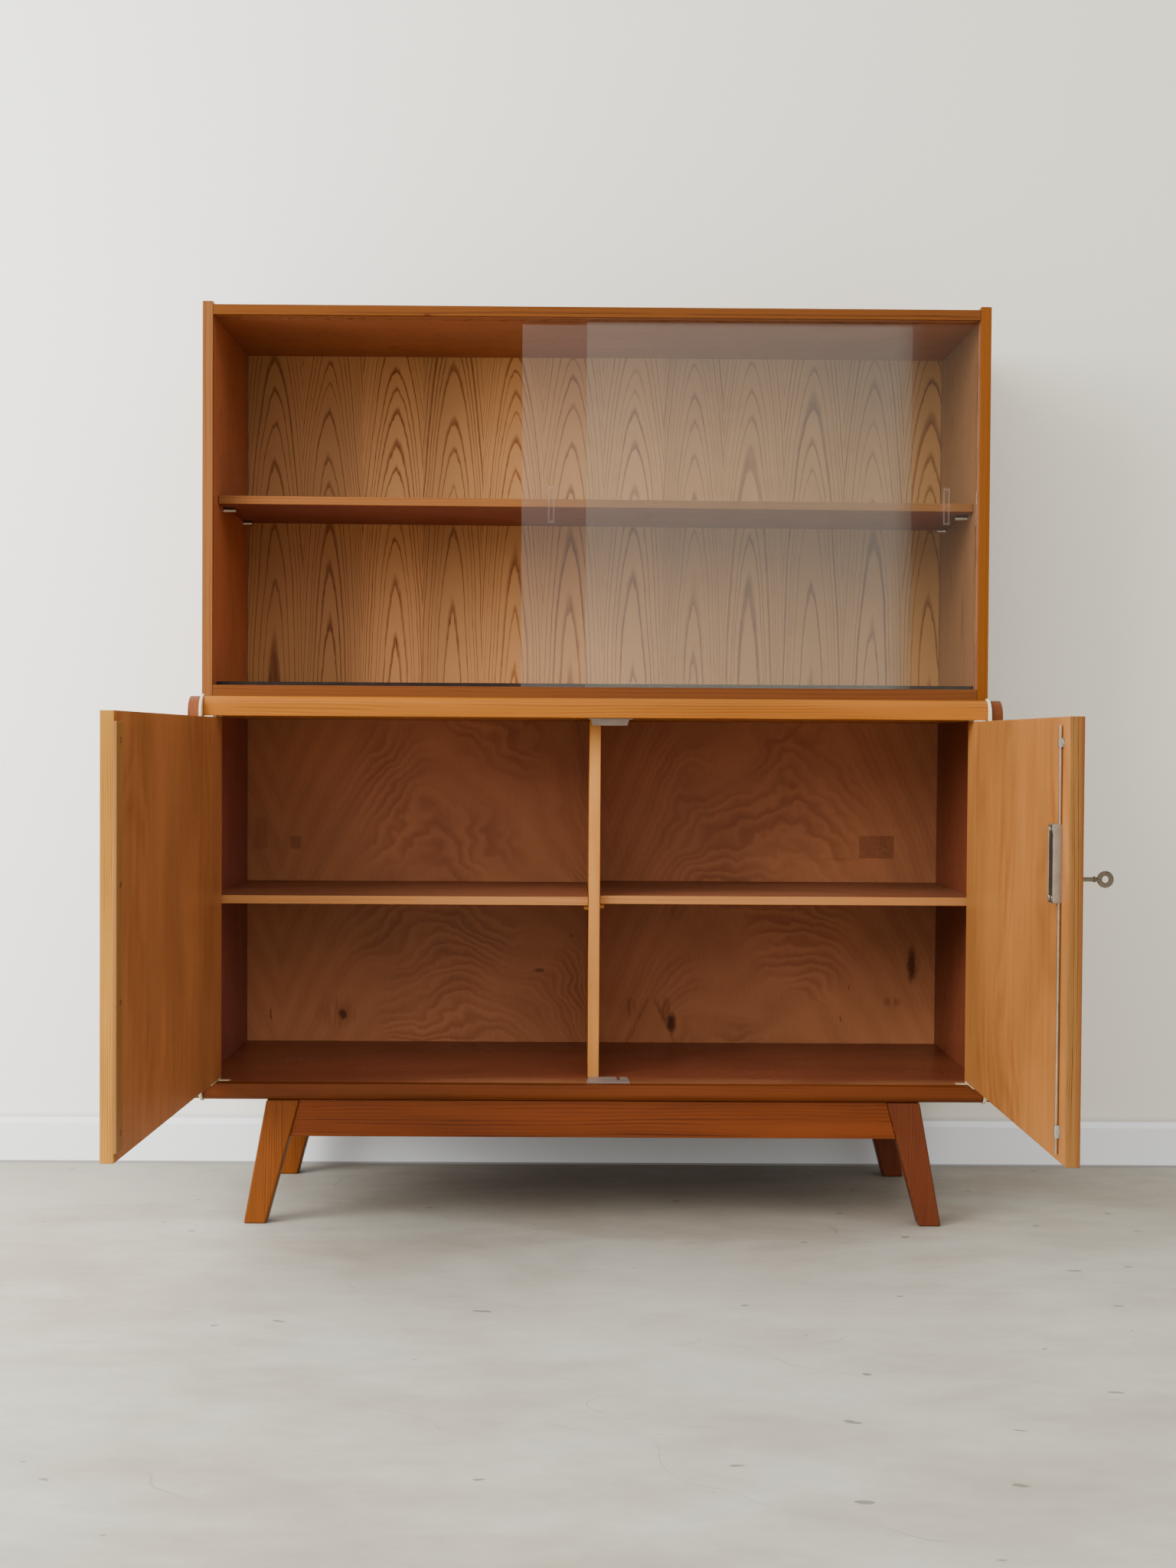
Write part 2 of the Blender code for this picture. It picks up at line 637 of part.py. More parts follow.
def stop_strip():
    """The dark upstand behind the rear groove that keeps the panes from tipping in."""
    front = pane_front(1) + GLASS + GROOVE_PLAY + TOUCH
    reach = UPPER_INNER_HALF - TOUCH
    board("glass_stop_strip", (-reach, front, UPPER_FLOOR + TOUCH),
          (reach, front + STOP_STRIP, UPPER_FLOOR + STOP_STRIP_RISE), DARK_WOOD)


def upper_shelf():
    """The glazed case's shelf, which tips a little because its right pins sit lower."""
    span = 2 * (UPPER_INNER_HALF - SHELF_END_PLAY)
    tip = math.atan(UPPER_SHELF_DROP / span)
    shelf = board("upper_shelf", (-span / 2, UPPER_SHELF_FRONT, -UPPER_SHELF / 2),
                  (span / 2, UPPER_SHELF_FRONT + UPPER_SHELF_DEPTH, UPPER_SHELF / 2), OAK_GOLD)
    shelf.rotation_euler.y = tip
    underside = UPPER_FLOOR + UPPER_SHELF_RISE - UPPER_SHELF_DROP / 2
    shelf.location.z = underside + UPPER_SHELF / 2
    for label, sign in (("left", -1), ("right", 1)):
        for end, y in pin_rows():
            out = PIN_OUT if end == "front" else PIN_REAR_OUT
            middle = sign * (UPPER_INNER_HALF - (out - PIN_IN) / 2)
            round_bar("upper_shelf_pin_%s_%s" % (end, label), (middle, y, pin_level(sign)),
                      (1, 0, 0), PIN_RADIUS, out + PIN_IN, STEEL)


# Sliding glass

def pane(name, left_end, row, pull_x):
    """A glass pane on an empty, with an oblong finger pull ground into its front."""
    low = UPPER_FLOOR - BOTTOM_GROOVE + TOUCH
    high = UPPER_ROOF + GLASS_BITE
    runner = bpy.data.objects.new(name + "_runner", None)
    runner.location = (left_end, pane_front(row), low)
    PARTS.objects.link(runner)
    glass = board(name, (0, 0, 0), (GLASS_WIDTH, GLASS, high - low), GLASS_CLEAR,
                  parent=runner, arris=0.0004, segments=1)
    middle = (high - low) / 2
    pull_name = name + "_pull"
    data = box_mesh(pull_name, (PULL_WIDTH, 2 * PULL_CUT, PULL_HEIGHT))
    round_corners(data, lambda spot, edge: abs(edge.verts[0].co.y - edge.verts[1].co.y) > PULL_CUT,
                  PULL_WIDTH * 0.495, 6)
    pull = helper(pull_name, data, (pull_x, 0, middle), runner)
    combine(glass, pull, "DIFFERENCE")
    return glass


def glass_panes():
    slid_left = UPPER_INNER_HALF - LEFT_PANE_SHORT - GLASS_WIDTH
    closed_right = UPPER_INNER_HALF - PANE_END_PLAY - GLASS_WIDTH
    pane("glass_left", slid_left, 1, PULL_INSET)
    pane("glass_right", closed_right, 0, GLASS_WIDTH - PULL_INSET)


# Doors: pieces are set out as if closed, on an empty that stands on the hinge axis

def hinge_axis(label, sign, angle):
    pivot = bpy.data.objects.new("door_%s_hinge" % label, None)
    pivot.location = (sign * PIVOT_X, PIVOT_Y, 0)
    pivot.rotation_euler.z = math.radians(angle)
    PARTS.objects.link(pivot)
    return pivot


def door_point(sign, along, out, z):
    """A place on a closed door: along from the hinge edge, out from the outer face."""
    return Vector((-sign * (along - PIVOT_INSET), out - DOOR / 2, z))


def door_board(name, sign, pivot, along, out, levels, look, arris=ARRIS):
    a = door_point(sign, along[0], out[0], levels[0])
    b = door_point(sign, along[1], out[1], levels[1])
    low = [min(pair) for pair in zip(a, b)]
    high = [max(pair) for pair in zip(a, b)]
    return board(name, low, high, look, parent=pivot, arris=arris)


def door_cut(part, label, sign, along, out, levels):
    a = door_point(sign, along[0], out[0], levels[0])
    b = door_point(sign, along[1], out[1], levels[1])
    low = [min(pair) for pair in zip(a, b)]
    high = [max(pair) for pair in zip(a, b)]
    return box_tool(part, label, low, high)


def case_leaf_box(sign, level, is_top, grow):
    """Seat of a leaf let into a board; grow widens it into the pocket for the leaf."""
    near = PIVOT_X + PIVOT_INSET + grow
    far = PIVOT_X + PIVOT_INSET - CASE_LEAF_LENGTH - grow
    x0, x1 = sorted((sign * near, sign * far))
    y0 = PIVOT_Y - CASE_LEAF_WIDTH / 2 - grow
    y1 = PIVOT_Y + CASE_LEAF_WIDTH / 2 + grow
    if is_top:
        return (x0, y0, level - grow), (x1, y1, level + CASE_LEAF_THICK + grow)
    return (x0, y0, level - CASE_LEAF_THICK - grow), (x1, y1, level + grow)


def case_leaf(label, sign, is_top):
    """A fixed leaf, flush in the board, with the pin that the door turns on."""
    level = CEILING if is_top else FLOOR_TOP
    way = -1 if is_top else 1
    gap = DOOR_TOP_GAP if is_top else DOOR_FLOOR_GAP
    low, high = case_leaf_box(sign, level, is_top, 0.0)
    name = "case_leaf_%s_%s" % ("top" if is_top else "bottom", label)
    leaf = board(name, low, high, IVORY, arris=0)
    sink = CASE_LEAF_THICK / 2
    pin = sink + gap + HINGE_PIN_REACH
    round_tool(leaf, "pin", (sign * PIVOT_X, PIVOT_Y, level + way * (pin / 2 - sink)), (0, 0, 1),
               HINGE_PIN_RADIUS, pin, "UNION")
    return leaf


def door_leaf(label, sign, pivot, panel, is_top):
    """A thin leaf under or over the door's end, bored for the hinge pin."""
    if is_top:
        levels = (DOOR_TOP + TOUCH, DOOR_TOP + TOUCH + DOOR_LEAF_THICK)
    else:
        levels = (DOOR_BOTTOM - TOUCH - DOOR_LEAF_THICK, DOOR_BOTTOM - TOUCH)
    end = "top" if is_top else "bottom"
    leaf = door_board("door_leaf_%s_%s" % (end, label), sign, pivot, (TOUCH, DOOR_LEAF_LENGTH),
                      (DOOR - DOOR_LEAF_WIDTH, DOOR - TOUCH), levels, IVORY, arris=0)
    for part, level, deep in ((leaf, sum(levels) / 2, 2 * DOOR_LEAF_THICK),
                              (panel, DOOR_TOP if is_top else DOOR_BOTTOM,
                               2 * (HINGE_PIN_REACH + TOUCH))):
        round_tool(part, end + "_bore", (0, 0, level), (0, 0, 1),
                   HINGE_PIN_RADIUS + RUNNING, deep)
    return leaf


def door_panel(label, sign, width, angle):
    pivot = hinge_axis(label, sign, angle)
    levels = (DOOR_BOTTOM, DOOR_TOP)
    panel = door_board("door_%s_panel" % label, sign, pivot, (0, width - DOOR_LIPPING - TOUCH),
                       (0, DOOR), levels, BEECH)
    door_board("door_%s_lipping" % label, sign, pivot, (width - DOOR_LIPPING, width),
               (0, DOOR), levels, PALE_EDGE)
    for is_top in (False, True):
        case_leaf(label, sign, is_top)
        door_leaf(label, sign, pivot, panel, is_top)
    return pivot, panel


def closing_strip(pivot):
    """The batten that laps behind the right door, screwed to the left door's inner face."""
    start = LEFT_WIDTH - (STRIP_WIDTH - STRIP_LAP)
    levels = (DOOR_BOTTOM + STRIP_END_GAP, DOOR_TOP - STRIP_END_GAP)
    strip = door_board("closing_strip", -1, pivot, (start, LEFT_WIDTH + STRIP_LAP),
                       (DOOR + TOUCH, DOOR + TOUCH + STRIP_THICK), levels, PALE_EDGE)
    first = levels[0] + STRIP_SCREW_INSET
    step = (levels[1] - levels[0] - 2 * STRIP_SCREW_INSET) / (len(STRIP_SCREW_WANDER) - 1)
    face = DOOR + TOUCH + STRIP_THICK
    spots = [door_point(-1, LEFT_WIDTH - STRIP_SCREW_FROM_EDGE, face, first + i * step + wander)
             for i, wander in enumerate(STRIP_SCREW_WANDER)]
    return strip, spots


def screw_profile(name, grow=0.0, lift=0.0):
    """Half outline of a countersunk screw about its own z axis, top to bottom.

    A grown and lifted outline is the seat that the screw goes into.
    """
    head = SCREW_HEAD_RADIUS + grow
    shank = SCREW_SHANK_RADIUS + grow
    points = [(0.0, lift), (head, lift), (head, -SCREW_HEAD / 3 - grow),
              (shank, -SCREW_HEAD - grow), (shank, -SCREW_SHANK - grow),
              (0.0, -SCREW_SHANK - shank)]
    shape = bmesh.new()
    chain = [shape.verts.new((radius, 0, height)) for radius, height in points]
    for pair in zip(chain, chain[1:]):
        shape.edges.new(pair)
    data = bpy.data.meshes.new(name)
    shape.to_mesh(data)
    shape.free()
    return data


def turned(part, sides):
    """Turn an open profile about its z axis into a closed solid."""
    lathe = part.modifiers.new("lathe", "SCREW")
    lathe.steps = sides
    lathe.render_steps = sides
    lathe.use_merge_vertices = True
    lathe.merge_threshold = 0.00001
    return part


def left_door():
    pivot, panel = door_panel("left", -1, LEFT_WIDTH, -LEFT_OPEN)
    strip, spots = closing_strip(pivot)
    data = screw_profile("closing_strip_screw")
    seat_data = screw_profile("closing_strip_screw_seat", TOUCH, SCREW_HEAD)
    for index, spot in enumerate(spots):
        screw = place("closing_strip_screw_%d" % (index + 1), data, STEEL, spot, pivot)
        seat = helper("screw_seat_%d" % (index + 1), seat_data, spot, pivot)
        for thing in (screw, seat):
            thing.rotation_euler.x = -math.pi / 2
            turned(thing, 16)
        for part in (strip, panel):
            combine(part, seat, "DIFFERENCE")


# Rod lock

def lock_case(pivot):
    along = (RIGHT_WIDTH - LOCK_INSET - CASE_WIDE / 2, RIGHT_WIDTH - LOCK_INSET + CASE_WIDE / 2)
    out = (DOOR + TOUCH, DOOR + CASE_PROUD)
    case = door_board("lock_case", 1, pivot, along, out, (LOCK_BOTTOM, LOCK_TOP), STEEL, arris=0)
    round_corners(case.data, lambda middle, edge: middle.y > -CASE_PROUD / 4, CASE_EDGE, 4)
    edge = CASE_RECESS_MARGIN
    door_cut(case, "face_recess", 1, (along[0] + edge, along[1] - edge),
             (DOOR + CASE_PROUD - CASE_RECESS, DOOR + CASE_PROUD + CASE_EDGE),
             (LOCK_BOTTOM + edge, LOCK_TOP - edge))
    door_cut(case, "hollow", 1, (along[0] + CASE_WALL, along[1] - CASE_WALL),
             (DOOR, DOOR + CASE_PROUD - CASE_RECESS - CASE_WALL),
             (LOCK_BOTTOM + CASE_WALL, LOCK_TOP - CASE_WALL))
    for label, level in (("top", LOCK_TOP), ("bottom", LOCK_BOTTOM)):
        rod_way(case, label, level, 4 * CASE_WALL)
    return case


def rod_way(part, label, level, tall):
    """A channel, open toward the door, that a rod runs through."""
    at = RIGHT_WIDTH - ROD_INSET
    way = ROD_RADIUS + ROD_PLAY
    round_tool(part, "rod_way_" + label, door_point(1, at, ROD_OUT, level), (0, 0, 1), way, tall)
    door_cut(part, "rod_slot_" + label, 1, (at - way, at + way), (0, ROD_OUT),
             (level - tall / 2, level + tall / 2))


def lock_screw_spots():
    face = DOOR + CASE_PROUD - CASE_RECESS
    return [door_point(1, RIGHT_WIDTH - LOCK_INSET + way * LOCK_SCREW_SIDE, face, level)
            for way in (-1, 1)
            for level in (LOCK_BOTTOM + LOCK_SCREW_END, LOCK_TOP - LOCK_SCREW_END)]


def rods_and_guides(pivot, panel):
    rod_at = RIGHT_WIDTH - ROD_INSET
    spans = {"upper_rod": (LOCK_TOP - UPPER_ROD_TAIL, DOOR_TOP - ROD_TOP_SHORT),
             "lower_rod": (DOOR_BOTTOM + ROD_BOTTOM_SHORT, LOCK_BOTTOM + LOWER_ROD_TAIL)}
    for name, (low, high) in spans.items():
        middle = door_point(1, rod_at, ROD_OUT, (low + high) / 2)
        round_bar(name, middle, (0, 0, 1), ROD_RADIUS, high - low, STEEL, pivot, 16)
    half = GUIDE_BRIDGE / 2
    reach = half + GUIDE_FLANGE
    proud = ROD_OUT + ROD_RADIUS + ROD_PLAY + GUIDE_PLATE
    for label, level, tall in (("upper", DOOR_TOP - UPPER_GUIDE_DROP, UPPER_GUIDE_TALL),
                               ("lower", DOOR_BOTTOM + LOWER_GUIDE_RISE, LOWER_GUIDE_TALL)):
        levels = (level - tall / 2, level + tall / 2)
        guide = door_board("rod_guide_" + label, 1, pivot, (rod_at - reach, rod_at + reach),
                           (DOOR + TOUCH, DOOR + TOUCH + GUIDE_PLATE), levels, STEEL, arris=0)
        a = door_point(1, rod_at - half, DOOR + 2 * TOUCH, levels[0])
        b = door_point(1, rod_at + half, proud, levels[1])
        box_tool(guide, "bridge", [min(pair) for pair in zip(a, b)],
                 [max(pair) for pair in zip(a, b)], "UNION")
        rod_way(guide, label, level, 2 * tall)
        screw_at = rod_at + half + GUIDE_FLANGE / 2
        face = door_point(1, screw_at, DOOR + TOUCH + GUIDE_PLATE, level)
        add_screw(guide, "screw", face, (0, 1, 0), SCREW_SHANK, SCREW_HEAD)
        round_tool(panel, "guide_screw_hole_" + label, face, (0, 1, 0),
                   SCREW_SHANK_RADIUS + TOUCH, 2 * (SCREW_SHANK + TOUCH), sides=12)


def key(pivot):
    """Key and follower turn on one axis, square to the door, at the lock's centre."""
    axis_at = door_point(1, RIGHT_WIDTH - LOCK_INSET, 0, KEY_Z)
    axle = bpy.data.objects.new("key_axis", None)
    axle.location = axis_at
    axle.parent = pivot
    PARTS.objects.link(axle)
    start = DOOR + 2 * TOUCH
    tip = start + FOLLOWER_THICK + BIT_LENGTH + 2 * TOUCH
    bow_y = -(KEY_REACH + NECK_LENGTH + BOW_RADIUS - NECK_LENGTH / 2)
    ring = round_bar("key", (0, bow_y, 0), (1, 0, 0), BOW_RADIUS, BOW_THICK, DARK_STEEL, axle, 28)
    round_tool(ring, "bow_hole", (0, bow_y, 0), (1, 0, 0), BOW_HOLE, 3 * BOW_THICK, sides=24)
    round_tool(ring, "neck", (0, -KEY_REACH - NECK_LENGTH / 2, 0), (0, 1, 0),
               NECK_RADIUS, NECK_LENGTH, "UNION")
    shaft = KEY_REACH + NECK_LENGTH / 2 + tip
    round_tool(ring, "shaft", (0, tip - shaft / 2, 0), (0, 1, 0), KEY_SHAFT_RADIUS, shaft, "UNION")
    box_tool(ring, "bit", (-BIT_THICK / 2, tip - BIT_LENGTH - TOUCH, -BIT_DROP),
             (BIT_THICK / 2, tip - TOUCH, 0), "UNION")
    follower = round_bar("lock_follower", (0, start + FOLLOWER_THICK / 2, 0), (0, 1, 0),
                         FOLLOWER_RADIUS, FOLLOWER_THICK, STEEL, axle)
    round_tool(follower, "bore", (0, start, 0), (0, 1, 0), KEY_SHAFT_RADIUS + RUNNING,
               4 * FOLLOWER_THICK)
    return axle


def keyhole(part, label, centre_y, depth):
    """A round key way with a slot below it for the bit."""
    way = KEY_SHAFT_RADIUS + KEYHOLE_PLAY
    axis_at = door_point(1, RIGHT_WIDTH - LOCK_INSET, 0, KEY_Z)
    round_tool(part, label + "_round", (axis_at.x, centre_y, axis_at.z), (0, 1, 0), way, depth)
    slot = BIT_THICK / 2 + KEYHOLE_PLAY
    box_tool(part, label + "_slot",
             (axis_at.x - slot, centre_y - depth / 2, axis_at.z - BIT_DROP - KEYHOLE_PLAY),
             (axis_at.x + slot, centre_y + depth / 2, axis_at.z))


def right_door():
    pivot, panel = door_panel("right", 1, RIGHT_WIDTH, RIGHT_OPEN)
    case = lock_case(pivot)
    rods_and_guides(pivot, panel)
    into_door = CASE_PROUD - CASE_RECESS + SCREW_SHANK / 2
    for index, spot in enumerate(lock_screw_spots()):
        add_screw(case, "screw_%d" % index, spot, (0, 1, 0), into_door, SCREW_HEAD / 2)
        round_tool(panel, "case_screw_hole_%d" % index, spot, (0, 1, 0),
                   SCREW_SHANK_RADIUS + TOUCH, 2 * (into_door + TOUCH), sides=12)
    key(pivot)
    keyhole(panel, "key_way", 0, 3 * DOOR)
    half = ESCUTCHEON_WIDE / 2
    at = RIGHT_WIDTH - LOCK_INSET
    centre_z = KEY_Z - BIT_DROP / 2
    plate = door_board("keyhole_escutcheon", 1, pivot, (at - half, at + half),
                       (-TOUCH - ESCUTCHEON_THICK, -TOUCH),
                       (centre_z - ESCUTCHEON_TALL / 2, centre_z + ESCUTCHEON_TALL / 2),
                       STEEL, arris=0)
    round_corners(plate.data, lambda middle, edge: abs(edge.verts[0].co.y - edge.verts[1].co.y) > TOUCH,
                  half * 0.98, 6)
    keyhole(plate, "key_way", -DOOR / 2, DOOR / 2)


def stand_on_origin():
    """Shift every free-standing piece so that the bounding box is centred on the origin."""
    bpy.context.view_layer.update()
    depsgraph = bpy.context.evaluated_depsgraph_get()
    xs, ys = [], []
    for part in PARTS.objects:
        if part.type != "MESH":
            continue
        shape = part.evaluated_get(depsgraph)
        for vert in shape.data.vertices:
            spot = part.matrix_world @ vert.co
            xs.append(spot.x)
            ys.append(spot.y)
    shift = Vector((-(min(xs) + max(xs)) / 2, -(min(ys) + max(ys)) / 2, 0))
    for thing in list(PARTS.objects) + list(CUTTERS.objects):
        if thing.parent is None:
            thing.location += shift
    print("shift to the origin: %.6f %.6f" % (shift.x, shift.y))


lower_sides()
piping()
lower_boards()
lower_back_and_divider()
lower_shelves()
strike_plates()
base()
upper_case()
stop_strip()
upper_shelf()
glass_panes()
left_door()
right_door()
stand_on_origin()
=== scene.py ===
# %% [markdown]
# # Dressing a buffet with sliding glass and two open doors
#
# The cabinet's shapes come from its CAD model. This lesson adds what a photograph shows on
# them: timber figure, varnish, worn edges, steel, glass and light. The model is never moved,
# so each finish is placed by its real measures, in metres: X right, Y back and Z up.
# %% Load the fixed model
import math

import bmesh
import bpy
from mathutils import Matrix, Vector


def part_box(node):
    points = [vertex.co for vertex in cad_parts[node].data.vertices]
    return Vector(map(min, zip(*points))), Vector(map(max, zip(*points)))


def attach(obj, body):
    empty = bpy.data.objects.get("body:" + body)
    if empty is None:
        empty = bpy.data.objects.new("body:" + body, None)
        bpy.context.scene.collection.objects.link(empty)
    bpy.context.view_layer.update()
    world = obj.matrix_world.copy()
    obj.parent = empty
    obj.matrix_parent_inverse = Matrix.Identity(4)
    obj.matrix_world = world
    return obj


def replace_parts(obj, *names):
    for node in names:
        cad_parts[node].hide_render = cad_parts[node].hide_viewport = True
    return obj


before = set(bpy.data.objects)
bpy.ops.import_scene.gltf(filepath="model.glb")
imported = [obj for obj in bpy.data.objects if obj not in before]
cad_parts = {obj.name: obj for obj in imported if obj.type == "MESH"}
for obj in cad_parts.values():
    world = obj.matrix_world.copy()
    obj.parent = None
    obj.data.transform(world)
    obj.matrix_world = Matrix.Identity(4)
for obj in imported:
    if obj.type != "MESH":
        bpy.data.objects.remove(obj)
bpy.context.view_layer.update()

# %% [markdown]
# ## Where the camera stands
#
# The photograph was taken from about half the cabinet's height, almost straight on. The
# camera's place and its three small angles were worked out from the cabinet's corners. The
# lens is given for the picture's long side, because Blender's automatic fit measures it.
# %% Make the camera
PLACE = (-0.041275, -2.564866, 0.6841)
TURN, DIP, ROLL = (math.radians(v) for v in (-0.41, -1.21, 0.36))
FOCAL_PIXELS, LONG_SIDE, SENSOR = 2429.8, 2048, 36
forward = Vector((-math.sin(TURN) * math.cos(DIP), math.cos(TURN) * math.cos(DIP), math.sin(DIP)))
level_right = Vector((math.cos(TURN), math.sin(TURN), 0))
level_up = level_right.cross(forward)
right = level_right * math.cos(ROLL) + level_up * math.sin(ROLL)
up = level_up * math.cos(ROLL) - level_right * math.sin(ROLL)


def add_object(name, data):
    thing = bpy.data.objects.new(name, data)
    bpy.context.collection.objects.link(thing)
    return thing


camera_data = bpy.data.cameras.new("room_camera")
camera_data.sensor_width = SENSOR
camera_data.lens = FOCAL_PIXELS / LONG_SIDE * SENSOR
camera = add_object("room_camera", camera_data)
camera.matrix_world = Matrix.Translation(PLACE) @ Matrix((right, up, -forward)).transposed().to_4x4()
bpy.context.scene.camera = camera
print("lens", round(camera_data.lens, 2), "mm")

# %% [markdown]
# ## Writing a formula as nodes
#
# Timber figure is arithmetic: rings are distances from the heart of the tree, cut by the
# surface. Wired by hand, that takes dozens of Math nodes. The Field class below lets a
# formula be written with +, - and *, and each step adds one Math node.
# %% A field is one changing number on a surface
class Bench:
    """Holds the node tree that is being built. Each new node is added to that tree."""
    tree = None


class Field:
    """A value that changes over a surface: one output of a node."""
    def __init__(self, socket):
        self.socket = socket

    def math(self, operation, *others):
        return made("ShaderNodeMath", (self, *others), operation=operation)

    def __rsub__(self, other):
        return (self * -1).math("ADD", other)

    def ramp(self, low, high, start=0, end=1):
        """start below low, end above high, and a smooth change between them."""
        return made("ShaderNodeMapRange", (self, low, high, start, end), interpolation_type="SMOOTHSTEP")

    def fall(self, low, high):
        """1 below low and 0 above high."""
        return self.ramp(low, high, 1, 0)

    def hump(self, start, full, last, end):
        """0 up to start, 1 from full to last, and 0 again from end on."""
        return self.ramp(start, full) * self.fall(last, end)


def one_step(operation):
    return lambda field, *others: field.math(operation, *others)


STEPS = {"__add__": "ADD", "__radd__": "ADD", "__sub__": "SUBTRACT", "__mul__": "MULTIPLY",
         "__rmul__": "MULTIPLY", "__truediv__": "DIVIDE", "root": "SQRT", "whole": "FLOOR",
         "part": "FRACT", "size": "ABSOLUTE", "most": "MAXIMUM", "least": "MINIMUM"}
for word, operation in STEPS.items():
    setattr(Field, word, one_step(operation))


def tint(screen):
    """A colour picked on screen, from 0 to 255, as the linear numbers that shaders use."""
    parts = [v / 255 for v in screen]
    return tuple(((v + 0.055) / 1.055) ** 2.4 if v > 0.04 else v / 12.92 for v in parts) + (1,)


def put(entry, value):
    """Wire a field into a node's input or set a plain value. Three numbers are a screen colour."""
    if isinstance(value, Field):
        Bench.tree.links.new(value.socket, entry)
    elif value is not None:
        entry.default_value = tint(value) if isinstance(value, tuple) and len(value) == 3 else value


def made(kind, entries=(), out=0, **settings):
    """Add a node, set it up and wire it. One of its outputs comes back as a field."""
    node = Bench.tree.nodes.new(kind)
    for name, value in settings.items():
        setattr(node, name, value)
    for name, value in entries.items() if isinstance(entries, dict) else enumerate(entries):
        put(node.inputs[name], value)
    return Field(node.outputs[out])


def axes(point):
    """A point's three numbers."""
    return [Field(s) for s in made("ShaderNodeSeparateXYZ", (point,)).socket.node.outputs]


def own_place():
    """The place of a point of the surface in the cabinet's own frame, in metres."""
    return made("ShaderNodeTexCoord", out="Object")


def spot(x, y, z):
    return made("ShaderNodeCombineXYZ", (x, y, z))


def noise(point, scale=1, detail=2, roughness=0.5):
    """Cloudy noise from 0 to 1, read at a point or at three fields in brackets."""
    point = spot(*point) if isinstance(point, tuple) else point
    entries = {"Vector": point, "Scale": scale, "Detail": detail, "Roughness": roughness}
    return made("ShaderNodeTexNoise", entries)


def luck(value):
    """The same random number from 0 to 1 each time for the same value."""
    return made("ShaderNodeTexWhiteNoise", {"W": value}, noise_dimensions="1D")


def blend(share, first, second, mode="MIX"):
    """Mix two colours: a share of 0 gives the first and 1 the second."""
    return made("ShaderNodeMix", {0: share, 6: first, 7: second}, 2, data_type="RGBA", blend_type=mode)


def ray_is(*kinds):
    """1 for rays of these kinds, such as Camera or Shadow, and 0 for all others."""
    exits = made("ShaderNodeLightPath").socket.node.outputs
    first, *others = [Field(exits["Is %s Ray" % kind]) for kind in kinds]
    for other in others:
        first = first.most(other)
    return first


print("formula helpers ready")

# %% [markdown]
# ## Boxes for shared effects
#
# A node group is a box with named inputs and outputs. Each effect below is built once as a
# group and then placed in many materials with its own numbers.
# %% Start and close a shader group
def open_group(name, **entries):
    """Start a group. Its inputs come back as fields."""
    Bench.tree = bpy.data.node_groups.new(name, "ShaderNodeTree")
    for label, value in entries.items():
        entry = Bench.tree.interface.new_socket(label, in_out="INPUT", socket_type="NodeSocketFloat")
        entry.default_value = value
    start = Bench.tree.nodes.new("NodeGroupInput")
    return [Field(start.outputs[label]) for label in entries]


def close_group(**exits):
    group = Bench.tree
    for label in exits:
        group.interface.new_socket(label, in_out="OUTPUT", socket_type="NodeSocketFloat")
    end = group.nodes.new("NodeGroupOutput")
    for label, value in exits.items():
        put(end.inputs[label], value)
    print("group", group.name, "with", len(group.nodes), "nodes")
    return group


def place_group(group, **entries):
    """Put a group into the open tree. Its outputs come back by name."""
    exits = made("ShaderNodeGroup", node_tree=group).socket.node
    for label, value in entries.items():
        put(exits.inputs[label], value)
    return {exit.name: Field(exit) for exit in exits.outputs}


# %% [markdown]
# ## Flat-sawn ash, leaf after leaf
#
# The back of the upper case is veneered with narrow leaves cut one after another from the
# same log, so a tall pointed arch repeats about every 97 mm. A leaf is a plane that passes
# at some depth beside the heart of a slightly tapering trunk. The distance from the heart is
# the root of side squared plus depth squared, and the taper makes it change with height.
# Every whole number of ring widths gives one dark line, which draws the arches by itself.
# %% Group: ash leaves
across, along, leaf, start, step, taper, seed = open_group(
    "ash_leaves", Across=0, Along=0, Leaf=0.097, Start=0.5905, Step=0.0034, Taper=0.045, Seed=0)
side = across + start
number = (side / leaf).whole()
chance = luck(number * 3.17 + seed)
chance_two = luck(number * 5.71 + seed + 2)
chance_three = luck(number * 7.93 + seed + 5)
middle = side - (number + 0.5) * leaf - (chance_two - 0.5) * 0.012
middle = middle + (noise((number * 3.3, along * 5, seed), detail=1) - 0.5) * 0.01
depth = 0.046 + chance * 0.03
heart = (middle * middle + depth * depth).root() + middle.size() * 0.06
ripple = (noise((across * 30, along * 7, seed)) - 0.5) * 0.0016
shiver = (noise((across * 260, along * 45, seed)) - 0.5) * 0.0007
climb = taper * along + taper * along * along * 1.3
ring_count = (heart + ripple + shiver + climb) / (step * (0.8 + chance_three * 0.4)) + chance_three * 9
uneven = noise((ring_count * 0.55, number * 2.1, seed), detail=1) - 0.5
ring_count = ring_count + uneven * 1.8
inside = ring_count.part()
year = luck(ring_count.whole() + number * 13.7)
ring = inside.hump(0, 0.07, 0.09, 0.26 + year * 0.18) * (0.62 + year * 0.38)
pore_dash = noise((across * 1300, along * 34, seed), detail=1).ramp(0.5, 0.66)
fade = noise((across * 60, along * 9, seed), detail=1).ramp(0.3, 0.6)
ash_leaves = close_group(
    Ring=ring * (0.78 + 0.22 * fade),
    Pore=pore_dash * (0.2 + ring * 0.8),
    Tone=noise((across * 7, along * 1.8, seed), detail=3),
    Luck=chance,
)

